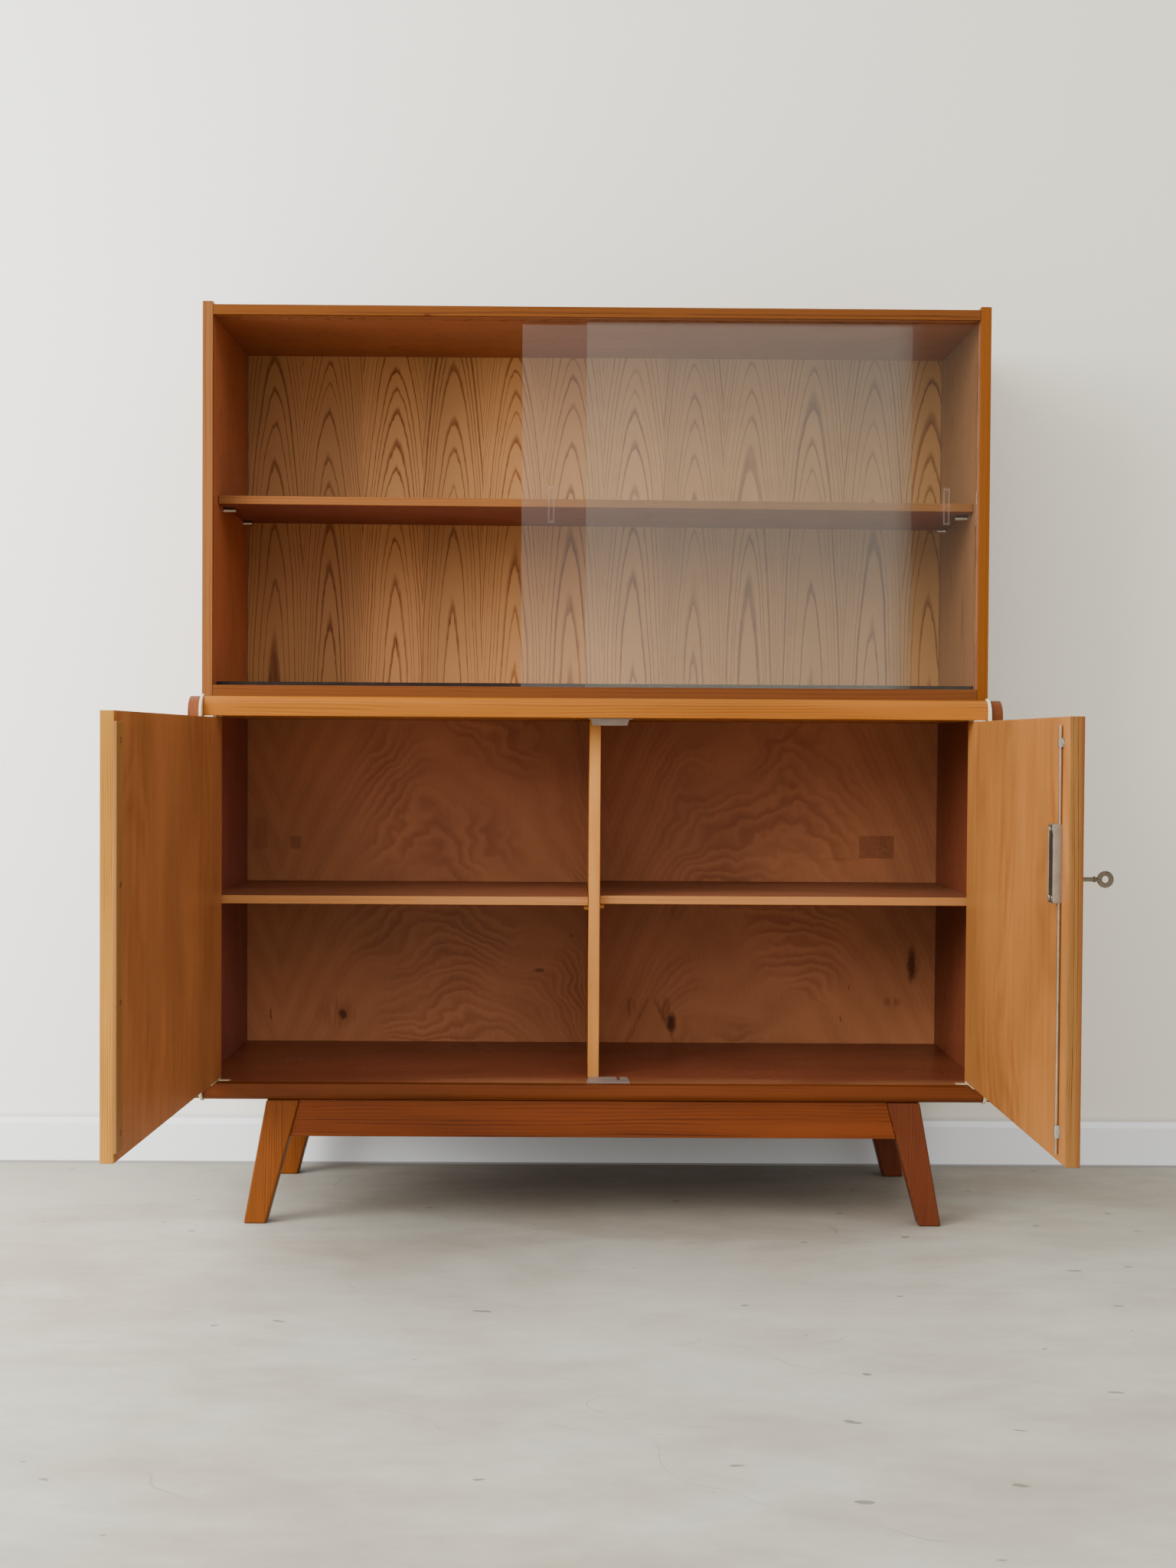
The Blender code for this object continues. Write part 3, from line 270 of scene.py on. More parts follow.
# %% [markdown]
# ## Straight grain for solid strips, legs and rails
#
# A strip sawn along the trunk shows nearly parallel lines, with a slow wander and short dark
# pores. The group takes the place along the strip and the two places across it, so the lines
# run on over an edge and end as rings on the end of the wood.
# %% Group: straight grain
along, side, deep, step, seed = open_group(
    "straight_grain", Along=0, Side=0, Deep=0, Step=0.003, Seed=0)
wander = noise((side * 14, deep * 14, along * 2.2 + seed)) - 0.5
count = (side * 0.83 + deep * 0.56 + wander * 0.012) / step
count = count + (noise((count * 0.6, seed, 0), detail=1) - 0.5) * 1.6
inside = count.part()
year = luck(count.whole() + seed * 5.3)
fade = noise((side * 40, deep * 40, along * 5 + seed)).ramp(0.3, 0.62)
ring = inside.hump(0, 0.14, 0.15, 0.7) * (0.25 + year * 0.75) * fade
fibre = noise((side * 900, deep * 900, along * 26 + seed))
straight_grain = close_group(
    Ring=ring,
    Pore=fibre.ramp(0.52, 0.7) * (0.35 + 0.65 * ring),
    Tone=noise((side * 30, deep * 30, along * 3 + seed), detail=3),
)

# %% [markdown]
# ## Peeled plywood
#
# The lower back is a thin sheet peeled from a turning log. The knife crosses the same ring
# at each turn, which gives a row of wide arches. An arch is the square of the distance from
# its middle plus the height. Slow hills and small folds bend it, and every whole number is
# drawn as one soft line.
# %% Group: peeled ply
across, along, wild, seed = open_group("peeled_ply", Across=0, Along=0, Wild=1, Seed=0)
hills = noise((across * 3.4, along * 3.2, seed), detail=1) - 0.5
folds = noise((across * 11, along * 15, seed + 3)) - 0.5
shiver = noise((across * 60, along * 30, seed + 7)) - 0.5
ONE_TURN, ARCH_MIDDLE = 0.53, 0.199
wave = (((across - ARCH_MIDDLE) / ONE_TURN + 0.5).part() - 0.5) * ONE_TURN
contour = wave * wave * 215 + along * 42
contour = contour + hills * (2 + 15 * wild) + folds * (0.6 + 3.8 * wild) + shiver * 0.7
inside = contour.part()
line = inside.hump(0, 0.3, 0.3, 1)
wide = (contour * 0.29).part()
patchy = noise((across * 7, along * 6, seed + 9), detail=1).ramp(0.38, 0.62, 0.06, 0.88)
fibre = noise((across * 420, along * 16, seed + 5))
broad = wide.hump(0, 0.5, 0.5, 1)
peeled_ply = close_group(
    Ring=line * patchy * (0.16 + wild * 0.52) + broad * 0.22 + (fibre - 0.4) * 0.28,
    Tone=noise((across * 4, along * 3.4, seed + 11), detail=3),
    Fleck=noise((across * 700, along * 60, seed), detail=1).ramp(0.56, 0.72),
)

# %% [markdown]
# ## Beech veneer
#
# The inner faces of the doors are plain beech under clear varnish: broad faint streaks along
# the grain, a slow cloud of light and dark, and countless tiny brown flecks.
# %% Group: beech
across, along, seed = open_group("beech", Across=0, Along=0, Seed=0)
bend = (noise((across * 4, along * 1.4, seed), detail=1) - 0.5) * 0.05
drift = noise((across * 3.2, along * 1.4, seed + 8)) - 0.5
flow = (across * 24 + drift * 17).part()
fading = noise((across * 6, along * 3, seed + 6), detail=1).ramp(0.42, 0.62)
beech = close_group(
    Streak=noise(((across + bend) * 70, along * 2.4, seed), detail=5, roughness=0.62),
    Arch=flow.hump(0, 0.4, 0.4, 1) * fading,
    Cloud=noise(((across + bend) * 8, along * 3.4, seed + 4), detail=3),
    Fleck=noise((across * 1500, along * 260, seed), detail=0).ramp(0.6, 0.72),
)

# %% [markdown]
# ## Wear on the arrises
#
# Hands and cloths rub varnish off the corners of wood first. The Bevel node rounds the
# surface direction near an edge. Where the rounded direction differs from the true one there
# is an edge, and a noise breaks that thin line up so that it never looks drawn.
# %% Group: edge wear
width, strength, seed = open_group("edge_wear", Width=0.0012, Strength=1, Seed=0)
rounded = made("ShaderNodeBevel", {"Radius": width}, samples=4)
true_face = made("ShaderNodeNewGeometry", out="Normal")
alike = made("ShaderNodeVectorMath", (rounded, true_face), "Value", operation="DOT_PRODUCT")
patchy = noise(own_place(), scale=38, detail=3).ramp(0.38, 0.68)
edge_wear = close_group(Wear=(1 - alike).ramp(0.02, 0.22) * patchy * strength)

# %% [markdown]
# ## A hand-rubbed varnish
#
# Old varnish is not one gloss. It is slightly duller where it was wiped, has a faint orange
# peel, and a few fine scuffs. The group gives a roughness and a very low height.
# %% Group: varnish
base, spread, seed = open_group("varnish", Base=0.4, Spread=0.1, Seed=0)
place = own_place()
wiped = noise(place, scale=9, detail=4, roughness=0.6)
peel = noise(place, scale=420, detail=1)
varnish = close_group(Roughness=base + (wiped - 0.5) * spread * 2, Height=peel * 0.35 + wiped * 0.2)

# %% [markdown]
# ## One recipe for every timber piece
#
# A figure gives masks, the masks mix a pale and a deep tone, slow clouds shift the tone, edges
# are worn a little lighter, and the pores make a fine bump under the varnish. Only the
# figure, the direction of the grain and the tones differ from piece to piece.
# %% Make a timber finish
def start_finish(name):
    finish = bpy.data.materials.new(name)
    finish.use_nodes = True
    Bench.tree = finish.node_tree
    return finish, Bench.tree.nodes["Principled BSDF"], *axes(own_place())


def bump(height, strength, distance=0.0002):
    return made("ShaderNodeBump", {"Height": height, "Strength": strength, "Distance": distance})


def lay_on(shader, colour, roughness, normal=None):
    """Wire a colour, a roughness and a bumped surface direction into the shader."""
    for label, value in (("Base Color", colour), ("Roughness", roughness), ("Normal", normal)):
        put(shader.inputs[label], value)


def lay_over(shader, share, other):
    """Show the other shader instead where the share is 1."""
    mix = made("ShaderNodeMixShader", (share, Field(shader.outputs[0]), other))
    put(Bench.tree.nodes["Material Output"].inputs["Surface"], mix)


def shade(colour, level):
    """Make a colour darker or lighter without changing its hue."""
    return made("ShaderNodeHueSaturation", {"Color": colour, "Value": level})


def dress(finish, *names):
    """Give CAD nodes a finish, in every material slot that they have."""
    for name in names:
        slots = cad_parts[name].data.materials
        for index in range(len(slots)):
            slots[index] = finish


SHINE, TONE_SWING, ASH_HEART_Z = 0.17, 0.14, 1.04


def timber(name, nodes, figure, grain, pale, deep, seed, contrast=1, gloss=0.42, relief=0.3,
           leaf_start=0.5905, step=0.003, wild=None, extra=None):
    """figure is ash, solid, ply or beech; grain names the axis that the fibres follow."""
    finish, shader, x, y, z = start_finish(name)
    along, side, deep_way = {"X": (x, y, z), "Y": (y, x, z), "Z": (z, x, y)}[grain]
    # A face may look along either cross axis, so both are added and each face sees its own.
    across = side + deep_way
    if figure == "ash":
        parts = place_group(ash_leaves, Across=across, Along=along - ASH_HEART_Z, Start=leaf_start,
                            Seed=seed)
        mark, pore, tone = parts["Ring"], parts["Pore"], parts["Tone"] * 0.8 + parts["Luck"] * 0.2
    elif figure == "solid":
        parts = place_group(straight_grain, Along=along, Side=side, Deep=deep_way, Step=step, Seed=seed)
        mark, pore, tone = parts["Ring"] * 0.75, parts["Pore"], parts["Tone"]
    elif figure == "ply":
        parts = place_group(peeled_ply, Across=across, Along=along, Wild=wild(x), Seed=seed)
        mark, pore, tone = parts["Ring"], parts["Fleck"] * 0.5, parts["Tone"]
    else:
        parts = place_group(beech, Across=across, Along=along, Seed=seed)
        mark = parts["Streak"].ramp(0.35, 0.75) * 0.42 + parts["Arch"] * 0.38
        pore, tone = parts["Fleck"] * 0.5, parts["Cloud"]
    share = (mark * contrast + pore * 0.35 * contrast).least(1)
    colour = blend(share, pale, deep)
    colour = shade(colour, tone.ramp(0.25, 0.75, 1 - TONE_SWING, 1 + TONE_SWING))
    if extra:
        colour = extra(colour, x, y, z)
    worn = place_group(edge_wear, Strength=0.3, Seed=seed)["Wear"]
    bare_wood = tuple(min(1, v * 1.7 + 0.02) for v in tint(pale)[:3]) + (1,)
    colour = blend(worn, colour, bare_wood)
    skin_of = place_group(varnish, Base=gloss, Spread=0.1, Seed=seed)
    normal = bump(skin_of["Height"] - pore * 0.9 - mark * 0.25, relief)
    lay_on(shader, colour, (skin_of["Roughness"] + pore * 0.12 + worn * 0.2).least(1), normal)
    shader.inputs["Specular IOR Level"].default_value = SHINE
    dress(finish, *nodes.split())


def nodes_like(part):
    return [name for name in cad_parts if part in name]


def middle_of(name):
    low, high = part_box(name)
    return (low + high) / 2


print("timber recipe ready")

# %% [markdown]
# ## The upper case
#
# Ash with a warm, slightly orange varnish. The back is the star: its leaves run upright. The
# sides, base and roof are the same veneer seen in shadow, and the front edges are solid strips.
# %% Finishes of the upper case
BACK_Y, EDGE_FRONT, SHELF_FRONT, STRIP_THICK = 0.4494, 0.1584, 0.1994, 0.005
LEAVES_BEGIN = 0.58


def back_shadows(colour, x, y, z):
    """A little paler toward the top, and darker in the right corner."""
    return shade(colour, z.ramp(0.95, 1.15, 0.99, 1.11) * x.ramp(0.34, 0.46, 1, 0.86))


timber("ash_back", "upper_back_panel", "ash", "Z", (181, 129, 79), (117, 64, 32), 1, contrast=0.95,
       leaf_start=LEAVES_BEGIN - BACK_Y, extra=back_shadows)


def front_strip(front, pale, deep, seed, line="X", thick=STRIP_THICK):
    """A solid lipping glued to the front of a veneered board: seen only near the front plane."""
    depth = front + thick

    def paint(colour, x, y, z):
        along, side = (z, x) if line == "Z" else (x, z)
        parts = place_group(straight_grain, Along=along, Side=side, Deep=y, Step=0.005, Seed=seed)
        strip = blend(parts["Ring"] * 0.6 + parts["Pore"] * 0.3, pale, deep)
        near = y.fall(depth, depth + 0.0006)
        seam = y.hump(depth - 0.0003, depth + 0.0001, depth + 0.0002, depth + 0.0007)
        colour = blend(near, colour, strip)
        return blend(seam * 0.6, colour, (60, 28, 12))
    return paint


def with_outside(away, paint=None, factor=(0.62, 0.74, 0.5, 1)):
    """Wood is browner outside than inside; away(x, z) tells how far a place lies toward the outside."""
    def both(colour, x, y, z):
        outside = away(x, z).ramp(0.0004, 0.001)
        colour = blend(outside, colour, factor, "MULTIPLY")
        return paint(colour, x, y, z) if paint else colour
    return both


INNER_LEFT, INNER_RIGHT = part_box("upper_side_left")[1].x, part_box("upper_side_right")[0].x
timber("side_left_ash", "upper_side_left", "ash", "Z", (172, 99, 63), (108, 52, 31), 4, contrast=0.5,
       extra=with_outside(lambda x, z: INNER_LEFT - x,
                          front_strip(EDGE_FRONT, (126, 78, 38), (83, 45, 19), 2, "Z")))
timber("side_right_ash", "upper_side_right", "ash", "Z", (131, 89, 60), (81, 46, 29), 4.5, contrast=0.5,
       extra=with_outside(lambda x, z: x - INNER_RIGHT,
                          front_strip(EDGE_FRONT, (120, 65, 13), (82, 39, 5), 2.6, "Z"),
                          (1.12, 0.92, 0.54, 1)))
roof_strip = front_strip(EDGE_FRONT, (107, 59, 17), (71, 33, 6), 5)
CHIP = (-0.2601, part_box("upper_top_board")[0].z)


def chipped_roof(colour, x, y, z):
    """A small chip is missing from the lower arris of the lipping, left of the middle."""
    u, v = (x - CHIP[0]) / 0.0062, (z - CHIP[1]) / 0.004
    chip = (u * u + v * v).fall(0.5, 1) * y.fall(EDGE_FRONT + 0.002, EDGE_FRONT + 0.003)
    return blend(chip * 0.9, roof_strip(colour, x, y, z), (80, 36, 14))


timber("upper_roof_ash", "upper_top_board", "ash", "X", (159, 94, 60), (99, 47, 30), 6, contrast=0.5,
       extra=with_outside(lambda x, z: z - CHIP[1], chipped_roof))
timber("upper_floor_ash", "upper_bottom_board", "ash", "X", (166, 96, 52), (104, 50, 26), 7, contrast=0.5,
       extra=front_strip(EDGE_FRONT, (107, 60, 24), (74, 34, 10), 6))
timber("upper_shelf_ash", "upper_shelf", "ash", "X", (128, 73, 63), (79, 39, 34), 8, contrast=0.5,
       extra=front_strip(SHELF_FRONT, (129, 79, 37), (98, 52, 22), 7))
print("upper case dressed")

# %% [markdown]
# ## The lower case
#
# Outside it is the same ash, inside it is birch and beech stained a deep red brown. The nose
# mouldings at the top and bottom are solid and catch the light; the floor is glossy.
# %% Finishes of the lower case
def painted_shade_to_right(colour, x, y, z):
    """Painted shade: darker toward the right side, away from the light on the left."""
    return shade(colour, x.ramp(-0.5, 0.5, 1.16, 0.83))


def painted_light_and_shade_sides(colour, x, y, z):
    """Painted light and shade on the side panels: lighter and bluer on the left, darker and redder on the
    right, as the light comes from the left.
    """
    side = blend(x.ramp(-0.5, 0.5), (1.16, 1.24, 1.42, 1), (0.83, 0.79, 0.6, 1))
    return blend(1, colour, side, "MULTIPLY")


def rubbed_and_shaded_floor(colour, x, y, z):
    """Sliding things in and out has rubbed the varnish pale along the front of the floor. Painted shade then
    darkens the floor toward the right.
    """
    patchy = noise((x * 0.4, y, z), scale=11, detail=3).ramp(0.3, 0.65, 0.35, 1)
    front = y.fall(FLOOR_FRONT + 0.004, FLOOR_FRONT + 0.06) * x.ramp(-0.42, -0.12, 0.15, 1)
    return painted_shade_to_right(blend(front * patchy * 0.55, colour, (172, 122, 82)), x, y, z)


BOARD = 0.016
FLOOR_FRONT, LOWER_SHELF_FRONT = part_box("lower_bottom_board")[0].y, 0.1404
OUTER_LEFT, OUTER_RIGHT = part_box("lower_side_left")[0].x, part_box("lower_side_right")[1].x
MIDDLE_X, LOWER_INNER = (OUTER_LEFT + OUTER_RIGHT) / 2, (OUTER_RIGHT - OUTER_LEFT) / 2 - BOARD
timber("lower_side_ash", "lower_side_left lower_side_right", "ash", "Z", (129, 70, 53), (83, 39, 31), 11,
       contrast=0.5, extra=with_outside(lambda x, z: (x - MIDDLE_X).size() - LOWER_INNER, painted_light_and_shade_sides,
                                        (0.7, 0.7, 0.36, 1)))
timber("nose_top_oak", "lower_top_nose", "solid", "X", (154, 91, 27), (116, 61, 14), 12, contrast=0.8)
timber("nose_bottom_oak", "lower_bottom_nose", "solid", "X", (106, 52, 18), (68, 30, 10), 13, contrast=0.8)
timber("lower_board_birch", "lower_bottom_board", "beech", "X", (116, 60, 39), (91, 43, 26), 14, gloss=0.3,
       relief=0.08, extra=rubbed_and_shaded_floor)
timber("top_board_ash", "lower_top_board", "ash", "X", (176, 112, 60), (110, 58, 28), 15, contrast=0.6)
shelf_strip = front_strip(LOWER_SHELF_FRONT, (178, 120, 67), (155, 94, 49), 8, thick=0.004)


# Painted shade: the shelf's front is darker toward the right, away from the light on the left.
def painted_shade_right_shelf(colour, x, y, z):
    return shade(shelf_strip(colour, x, y, z), x.ramp(-0.3, 0.3, 1.03, 0.9))


timber("shelf_beech", "lower_shelf_left lower_shelf_right", "beech", "X", (140, 89, 63), (108, 63, 40), 17,
       extra=painted_shade_right_shelf)
timber("divider_beech", "divider", "beech", "Z", (196, 133, 66), (164, 100, 42), 18)
print("lower case dressed")

# %% [markdown]
# ## The sheet behind the lower case
#
# This sheet has a history: a few knots, a pale cone of new wood, a darker patch where a
# paper was once stuck, and a rubbed square. Each is placed by its own measures as a soft
# oval or a soft rectangle, and is then broken up by noise so that no outline looks drawn.
# %% Finish of the lower back
def oval(x, z, middle, reach):
    """1 in the heart of an upright oval that fades out at its reach."""
    u, v = (x - middle[0]) / reach[0], (z - middle[1]) / reach[1]
    return (u * u + v * v).fall(0, 1)


def ovals(x, z, places):
    """The strongest of several ovals. Each is given by its middle, its reach and its strength."""
    total = None
    for middle, reach, strength in places:
        one = oval(x, z, middle, reach) * strength
        total = total.most(one) if total else one
    return total


def patch(x, z, low, high, soft=0.0015):
    """1 inside an upright rectangle with soft edges."""
    left, right = low[0] + soft, high[0] - soft
    return x.hump(low[0], left, right, high[0]) * z.hump(low[1], low[1] + soft, high[1] - soft, high[1])


def wild_bays(x):
    left = x.hump(-0.43, -0.33, -0.03, 0)
    right = x.ramp(0.06, 0.15) * x.ramp(0.33, 0.47, 1, 0.12)
    return left.most(right)


KNOTS = (((-0.4156, 0.2443), (0.008, 0.012), 0.8), ((0.1184, 0.233), (0.01, 0.02), 0.9),
         ((0.5075, 0.329), (0.008, 0.036), 0.8), ((-0.0961, 0.3178), (0.011, 0.004), 0.6),
         ((-0.5318, 0.244), (0.0016, 0.016), 0.6), ((0.4057, 0.2918), (0.0018, 0.007), 0.6),
         ((0.3937, 0.2405), (0.0018, 0.006), 0.6), ((-0.044, 0.374), (0.004, 0.003), 0.4))
SMEARS = (((-0.425, 0.246), (0.04, 0.032), 0.35), ((0.108, 0.252), (0.012, 0.03), 0.45),
          ((0.4757, 0.2685), (0.02, 0.01), 0.4), ((0.51, 0.33), (0.013, 0.044), 0.35),
          ((0.052, 0.256), (0.012, 0.022), 0.35))
CONE_TIP, CONE_FOOT, CONE_LEAN = (0.0845, 0.276), 0.215, 0.0285


def marks_of_use_and_painted_shade(colour, x, y, z):
    break_up = noise((x, y, z), scale=210, detail=3)
    streaky = noise((x * 260, y, z * 30))
    stain = noise((x, y, z), scale=170, detail=5, roughness=0.7).ramp(0.34, 0.66)
    dark, red = (60, 25, 12), (98, 40, 18)
    # Painted light and shade: lighter toward the left and the bottom, darker toward the right.
    colour = shade(colour, x.ramp(-0.5, 0.5, 1.09, 0.95) * z.ramp(0.25, 0.5, 1.05, 0.99))
    bent_x = x + (noise((x, y, z), scale=70) - 0.5) * 0.01
    knots = ovals(bent_x, z, KNOTS)
    smear = ovals(bent_x, z, SMEARS)
    colour = blend(smear * streaky.ramp(0.25, 0.7), colour, red)
    down = (CONE_TIP[1] - z) / (CONE_TIP[1] - CONE_FOOT)
    outside = (bent_x - CONE_TIP[0]).size() - down * CONE_LEAN
    flank = outside.hump(0, 0.002, 0.002, 0.013) * down.ramp(0, 0.15) * 0.34
    cone = outside.fall(-0.007, 0.003) * down.ramp(0, 0.1)
    colour = blend(flank * streaky.ramp(0.2, 0.6), colour, red)
    colour = blend(cone * 0.34, colour, (184, 118, 74))
    colour = blend(knots * break_up.ramp(0.1, 0.45), colour, dark)
    paper = patch(x, z, (0.4202, 0.5016), (0.4784, 0.5398)) * (0.26 + stain * 0.2)
    trail = patch(x, z, (0.31, 0.4985), (0.412, 0.503), 0.002) * stain * x.ramp(0.31, 0.41, 0.1, 0.4)
    rubbed = patch(x, z, (-0.5029, 0.5109), (-0.4817, 0.5356), 0.005) * 0.36
    faint = patch(x, z, (-0.56, 0.511), (-0.537, 0.565), 0.003) * 0.22
    colour = blend(paper.most(trail), colour, (72, 30, 14))
    colour = blend(rubbed, colour, (70, 52, 36))
    return blend(faint, colour, (120, 50, 26))


timber("lower_back_birch", "lower_back_panel", "ply", "Z", (183, 119, 79), (134, 76, 50), 16,
       contrast=0.72, wild=wild_bays, extra=marks_of_use_and_painted_shade)
print("lower back dressed")

# %% [markdown]
# ## Legs and rails
#
# The tapered, splayed legs and the four rails between them are solid ash, stained to match.
# %% Finishes of the base
# The left legs have lighter tones than the right ones: partly the wood's own variation and partly painted
# light from the window on the left.
timber("leg_left_ash", "leg_front_left leg_rear_left", "solid", "Z", (118, 63, 20), (80, 36, 8), 21)
timber("leg_right_ash", "leg_front_right leg_rear_right", "solid", "Z", (99, 48, 24), (63, 25, 12), 24)
timber("rail_ash", "apron_front apron_rear", "solid", "X", (113, 54, 19), (69, 29, 9), 22)
timber("side_rail_ash", "apron_left apron_right", "solid", "Y", (108, 50, 15), (68, 27, 6), 23)
print("base dressed")

# %% [markdown]
# ## The doors
#
# The doors stand open, so their beech inner faces are what the photograph shows. The left one
# is in shade and looks redder, the right one takes the window light. Outside they are given
# the browner tone of the sides, because that face can't be seen.
# %% Finishes of the doors
DOOR_TONE = (0.62, 0.68, 0.5, 1)
SKIN = 0.0012
LEFT_FACE, RIGHT_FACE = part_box("door_left_panel")[0].x + SKIN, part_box("door_right_panel")[1].x - SKIN

timber("door_left_beech", "door_left_panel", "beech", "Z", (163, 103, 59), (137, 81, 41), 31, gloss=0.36,
       extra=with_outside(lambda x, z: LEFT_FACE - x, factor=DOOR_TONE))
timber("door_right_beech", "door_right_panel", "beech", "Z", (162, 106, 53), (136, 79, 37), 33, gloss=0.36,
       extra=with_outside(lambda x, z: x - RIGHT_FACE, factor=DOOR_TONE))
timber("lipping_left_ash", "door_left_lipping", "solid", "Z", (175, 123, 48), (135, 81, 24), 35,
       step=0.0022, contrast=1.1)
LIP_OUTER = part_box("door_right_lipping")[1].x
SCREW_PLACES = [middle_of("closing_strip_screw_%d" % n) for n in range(1, 5)]


def red_arris(colour, x, y, z):
    """The outer third of the lipping has kept more of its red stain."""
    outer_third = x.ramp(LIP_OUTER - 0.006, LIP_OUTER - 0.0025)
    return blend(outer_third * 0.55, colour, (120, 62, 26))


def sunk_screws(colour, x, y, z):
    """A dark ring of old polish sits in the countersink round each screw."""
    ring = x * 0
    for place in SCREW_PLACES:
        u, v = y - place.y, z - place.z
        away = (u * u + v * v).root()
        ring = ring.most(away.hump(0.0018, 0.0024, 0.003, 0.0042))
    return blend(ring * 0.8, colour, (66, 36, 16))


timber("lipping_right_ash", "door_right_lipping", "solid", "Z", (138, 94, 46), (80, 42, 16), 37,
       step=0.002, contrast=1.3, extra=red_arris)
timber("closing_strip_beech", "closing_strip", "solid", "Z", (145, 101, 55), (117, 73, 35), 36,
       contrast=0.6, extra=sunk_screws)
print("doors dressed")

# %% [markdown]
# ## Cream plastic, steel and the dark stop strip
#
# The piping beads and hinge leaves are cream plastic and painted steel, yellowed with age.
# The steel of the lock, rods and plates is plated, brushed one way and slightly tarnished.
# %% Finishes of the small parts
def moulded(name, clean, grubby, gloss, seed):
    finish, shader, x, y, z = start_finish(name)
    point = spot(x + seed, y, z)
    dirt = noise(point, scale=120, detail=4).ramp(0.42, 0.72)
    colour = blend(dirt * 0.6, clean, grubby)
    lay_on(shader, colour, gloss + dirt * 0.25, bump(noise(point, scale=900), 0.2))
    return finish


def plated(name, bright, tarnish, seed, brush="Z", gloss=0.3, aged=0.35, metal=1):
    finish, shader, x, y, z = start_finish(name)
    stretch = {"X": (40, 1600, 1600), "Y": (1600, 40, 1600), "Z": (1600, 1600, 40)}[brush]
    hair = noise((x * stretch[0] + seed, y * stretch[1], z * stretch[2]))
    spots = noise((x + seed, y, z), scale=420, detail=5, roughness=0.65).ramp(0.48, 0.8)
    bloom = noise((x + seed, y, z), scale=45, detail=3).ramp(0.35, 0.7)
    colour = blend((spots * aged + bloom * aged * 0.6).least(1), bright, tarnish)
    lay_on(shader, colour, gloss + hair * 0.18 + spots * 0.2, bump(hair, 0.25, 0.00005))
    shader.inputs["Metallic"].default_value = metal
    return finish


dress(moulded("cream_piping", (219, 206, 174), (176, 148, 104), 0.4, 1), "piping_left", "piping_right")
dress(moulded("cream_hinge", (222, 206, 172), (150, 122, 84), 0.45, 2), *nodes_like("_leaf_"))
dress(moulded("dark_stop_strip", (24, 14, 10), (52, 38, 30), 0.5, 3), "glass_stop_strip")
steel = plated("plated_steel", (184, 174, 162), (112, 98, 84), 1)
dress(plated("plate_steel", (179, 168, 161), (124, 111, 102), 2, "X", 0.42, metal=0.6), "strike_plate_top",
      "strike_plate_bottom")
key_steel = plated("key_steel", (140, 130, 116), (76, 66, 54), 3, "X", 0.34, aged=0.6)
brass_steel = plated("screw_steel", (186, 152, 110), (92, 72, 50), 4, "Z", 0.36)
# The lock face's dark brown tone is a painted reflection of the cabinet's dark inside.
lock_face_painted_reflection = plated("lock_face_painted_reflection", (84, 53, 38), (48, 26, 17), 5, "Z", 0.2)
rod_steel = plated("rod_steel", (204, 196, 186), (120, 100, 84), 6, "Z", 0.24, aged=0.45)
bright_screw = plated("bright_screw", (224, 220, 212), (150, 142, 130), 7, "X", 0.22)
dress(steel, "lock_case", "lock_follower", "upper_rod", "lower_rod", "rod_guide_upper", "rod_guide_lower",
      "keyhole_escutcheon", *nodes_like("upper_shelf_pin"))
dress(key_steel, "key")
dress(brass_steel, *nodes_like("closing_strip_screw"))
print("small parts dressed")

# %% [markdown]
# ## Turning and skinning small hardware
#
# The CAD model keeps screws, rods and the lock cover simple. Two helpers make the smooth
# versions: a lathe spins a profile round an axis, and a skin joins a stack of outlines.
# %% Helpers for turned and skinned pieces
def new_piece(name, verts, faces, finish, body, sharp=35):
    mesh = bpy.data.meshes.new(name)
    mesh.from_pydata([tuple(v) for v in verts], [], faces)
    mesh.materials.append(finish)
    shape = bmesh.new()
    shape.from_mesh(mesh)
    bmesh.ops.remove_doubles(shape, verts=shape.verts, dist=1e-7)
    bmesh.ops.recalc_face_normals(shape, faces=shape.faces)
    for face in shape.faces:
        face.smooth = True
    for edge in shape.edges:
        if len(edge.link_faces) == 2 and edge.calc_face_angle(0) > math.radians(sharp):
            edge.smooth = False
    shape.to_mesh(mesh)
    shape.free()
    piece = add_object(name, mesh)
    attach(piece, body)
    return piece


def stand_in(node, name, shape, finish, body, sharp=35):
    """Make a piece that takes the place of a CAD node."""
    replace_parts(new_piece(name, *shape, finish, body, sharp), node)


def skin(rings, closed_ends=True):
    """Join a stack of equally long loops of points with quads, and close both ends."""
    count = len(rings[0])
    verts = [point for ring in rings for point in ring]
    faces = []
    for row in range(0, (len(rings) - 1) * count, count):
        for i in range(count):
            after = (i + 1) % count
            faces.append((row + i, row + after, row + count + after, row + count + i))
    if closed_ends:
        faces.append(tuple(reversed(range(count))))
        faces.append(tuple(range(len(verts) - count, len(verts))))
    return verts, faces


def square_axes(axis):
    """An axis and two directions square to it."""
    axis = Vector(axis).normalized()
    first = axis.orthogonal().normalized()
    return axis, first, axis.cross(first)


def lathe(profile, centre, axis, sides):
    """profile is a list of (distance along the axis, radius)."""
    axis, first, second = square_axes(axis)
    turns = [2 * math.pi * i / sides for i in range(sides)]
    spokes = [first * math.cos(t) + second * math.sin(t) for t in turns]
    return skin([[Vector(centre) + axis * along + spoke * max(radius, 1e-5) for spoke in spokes]
                 for along, radius in profile])


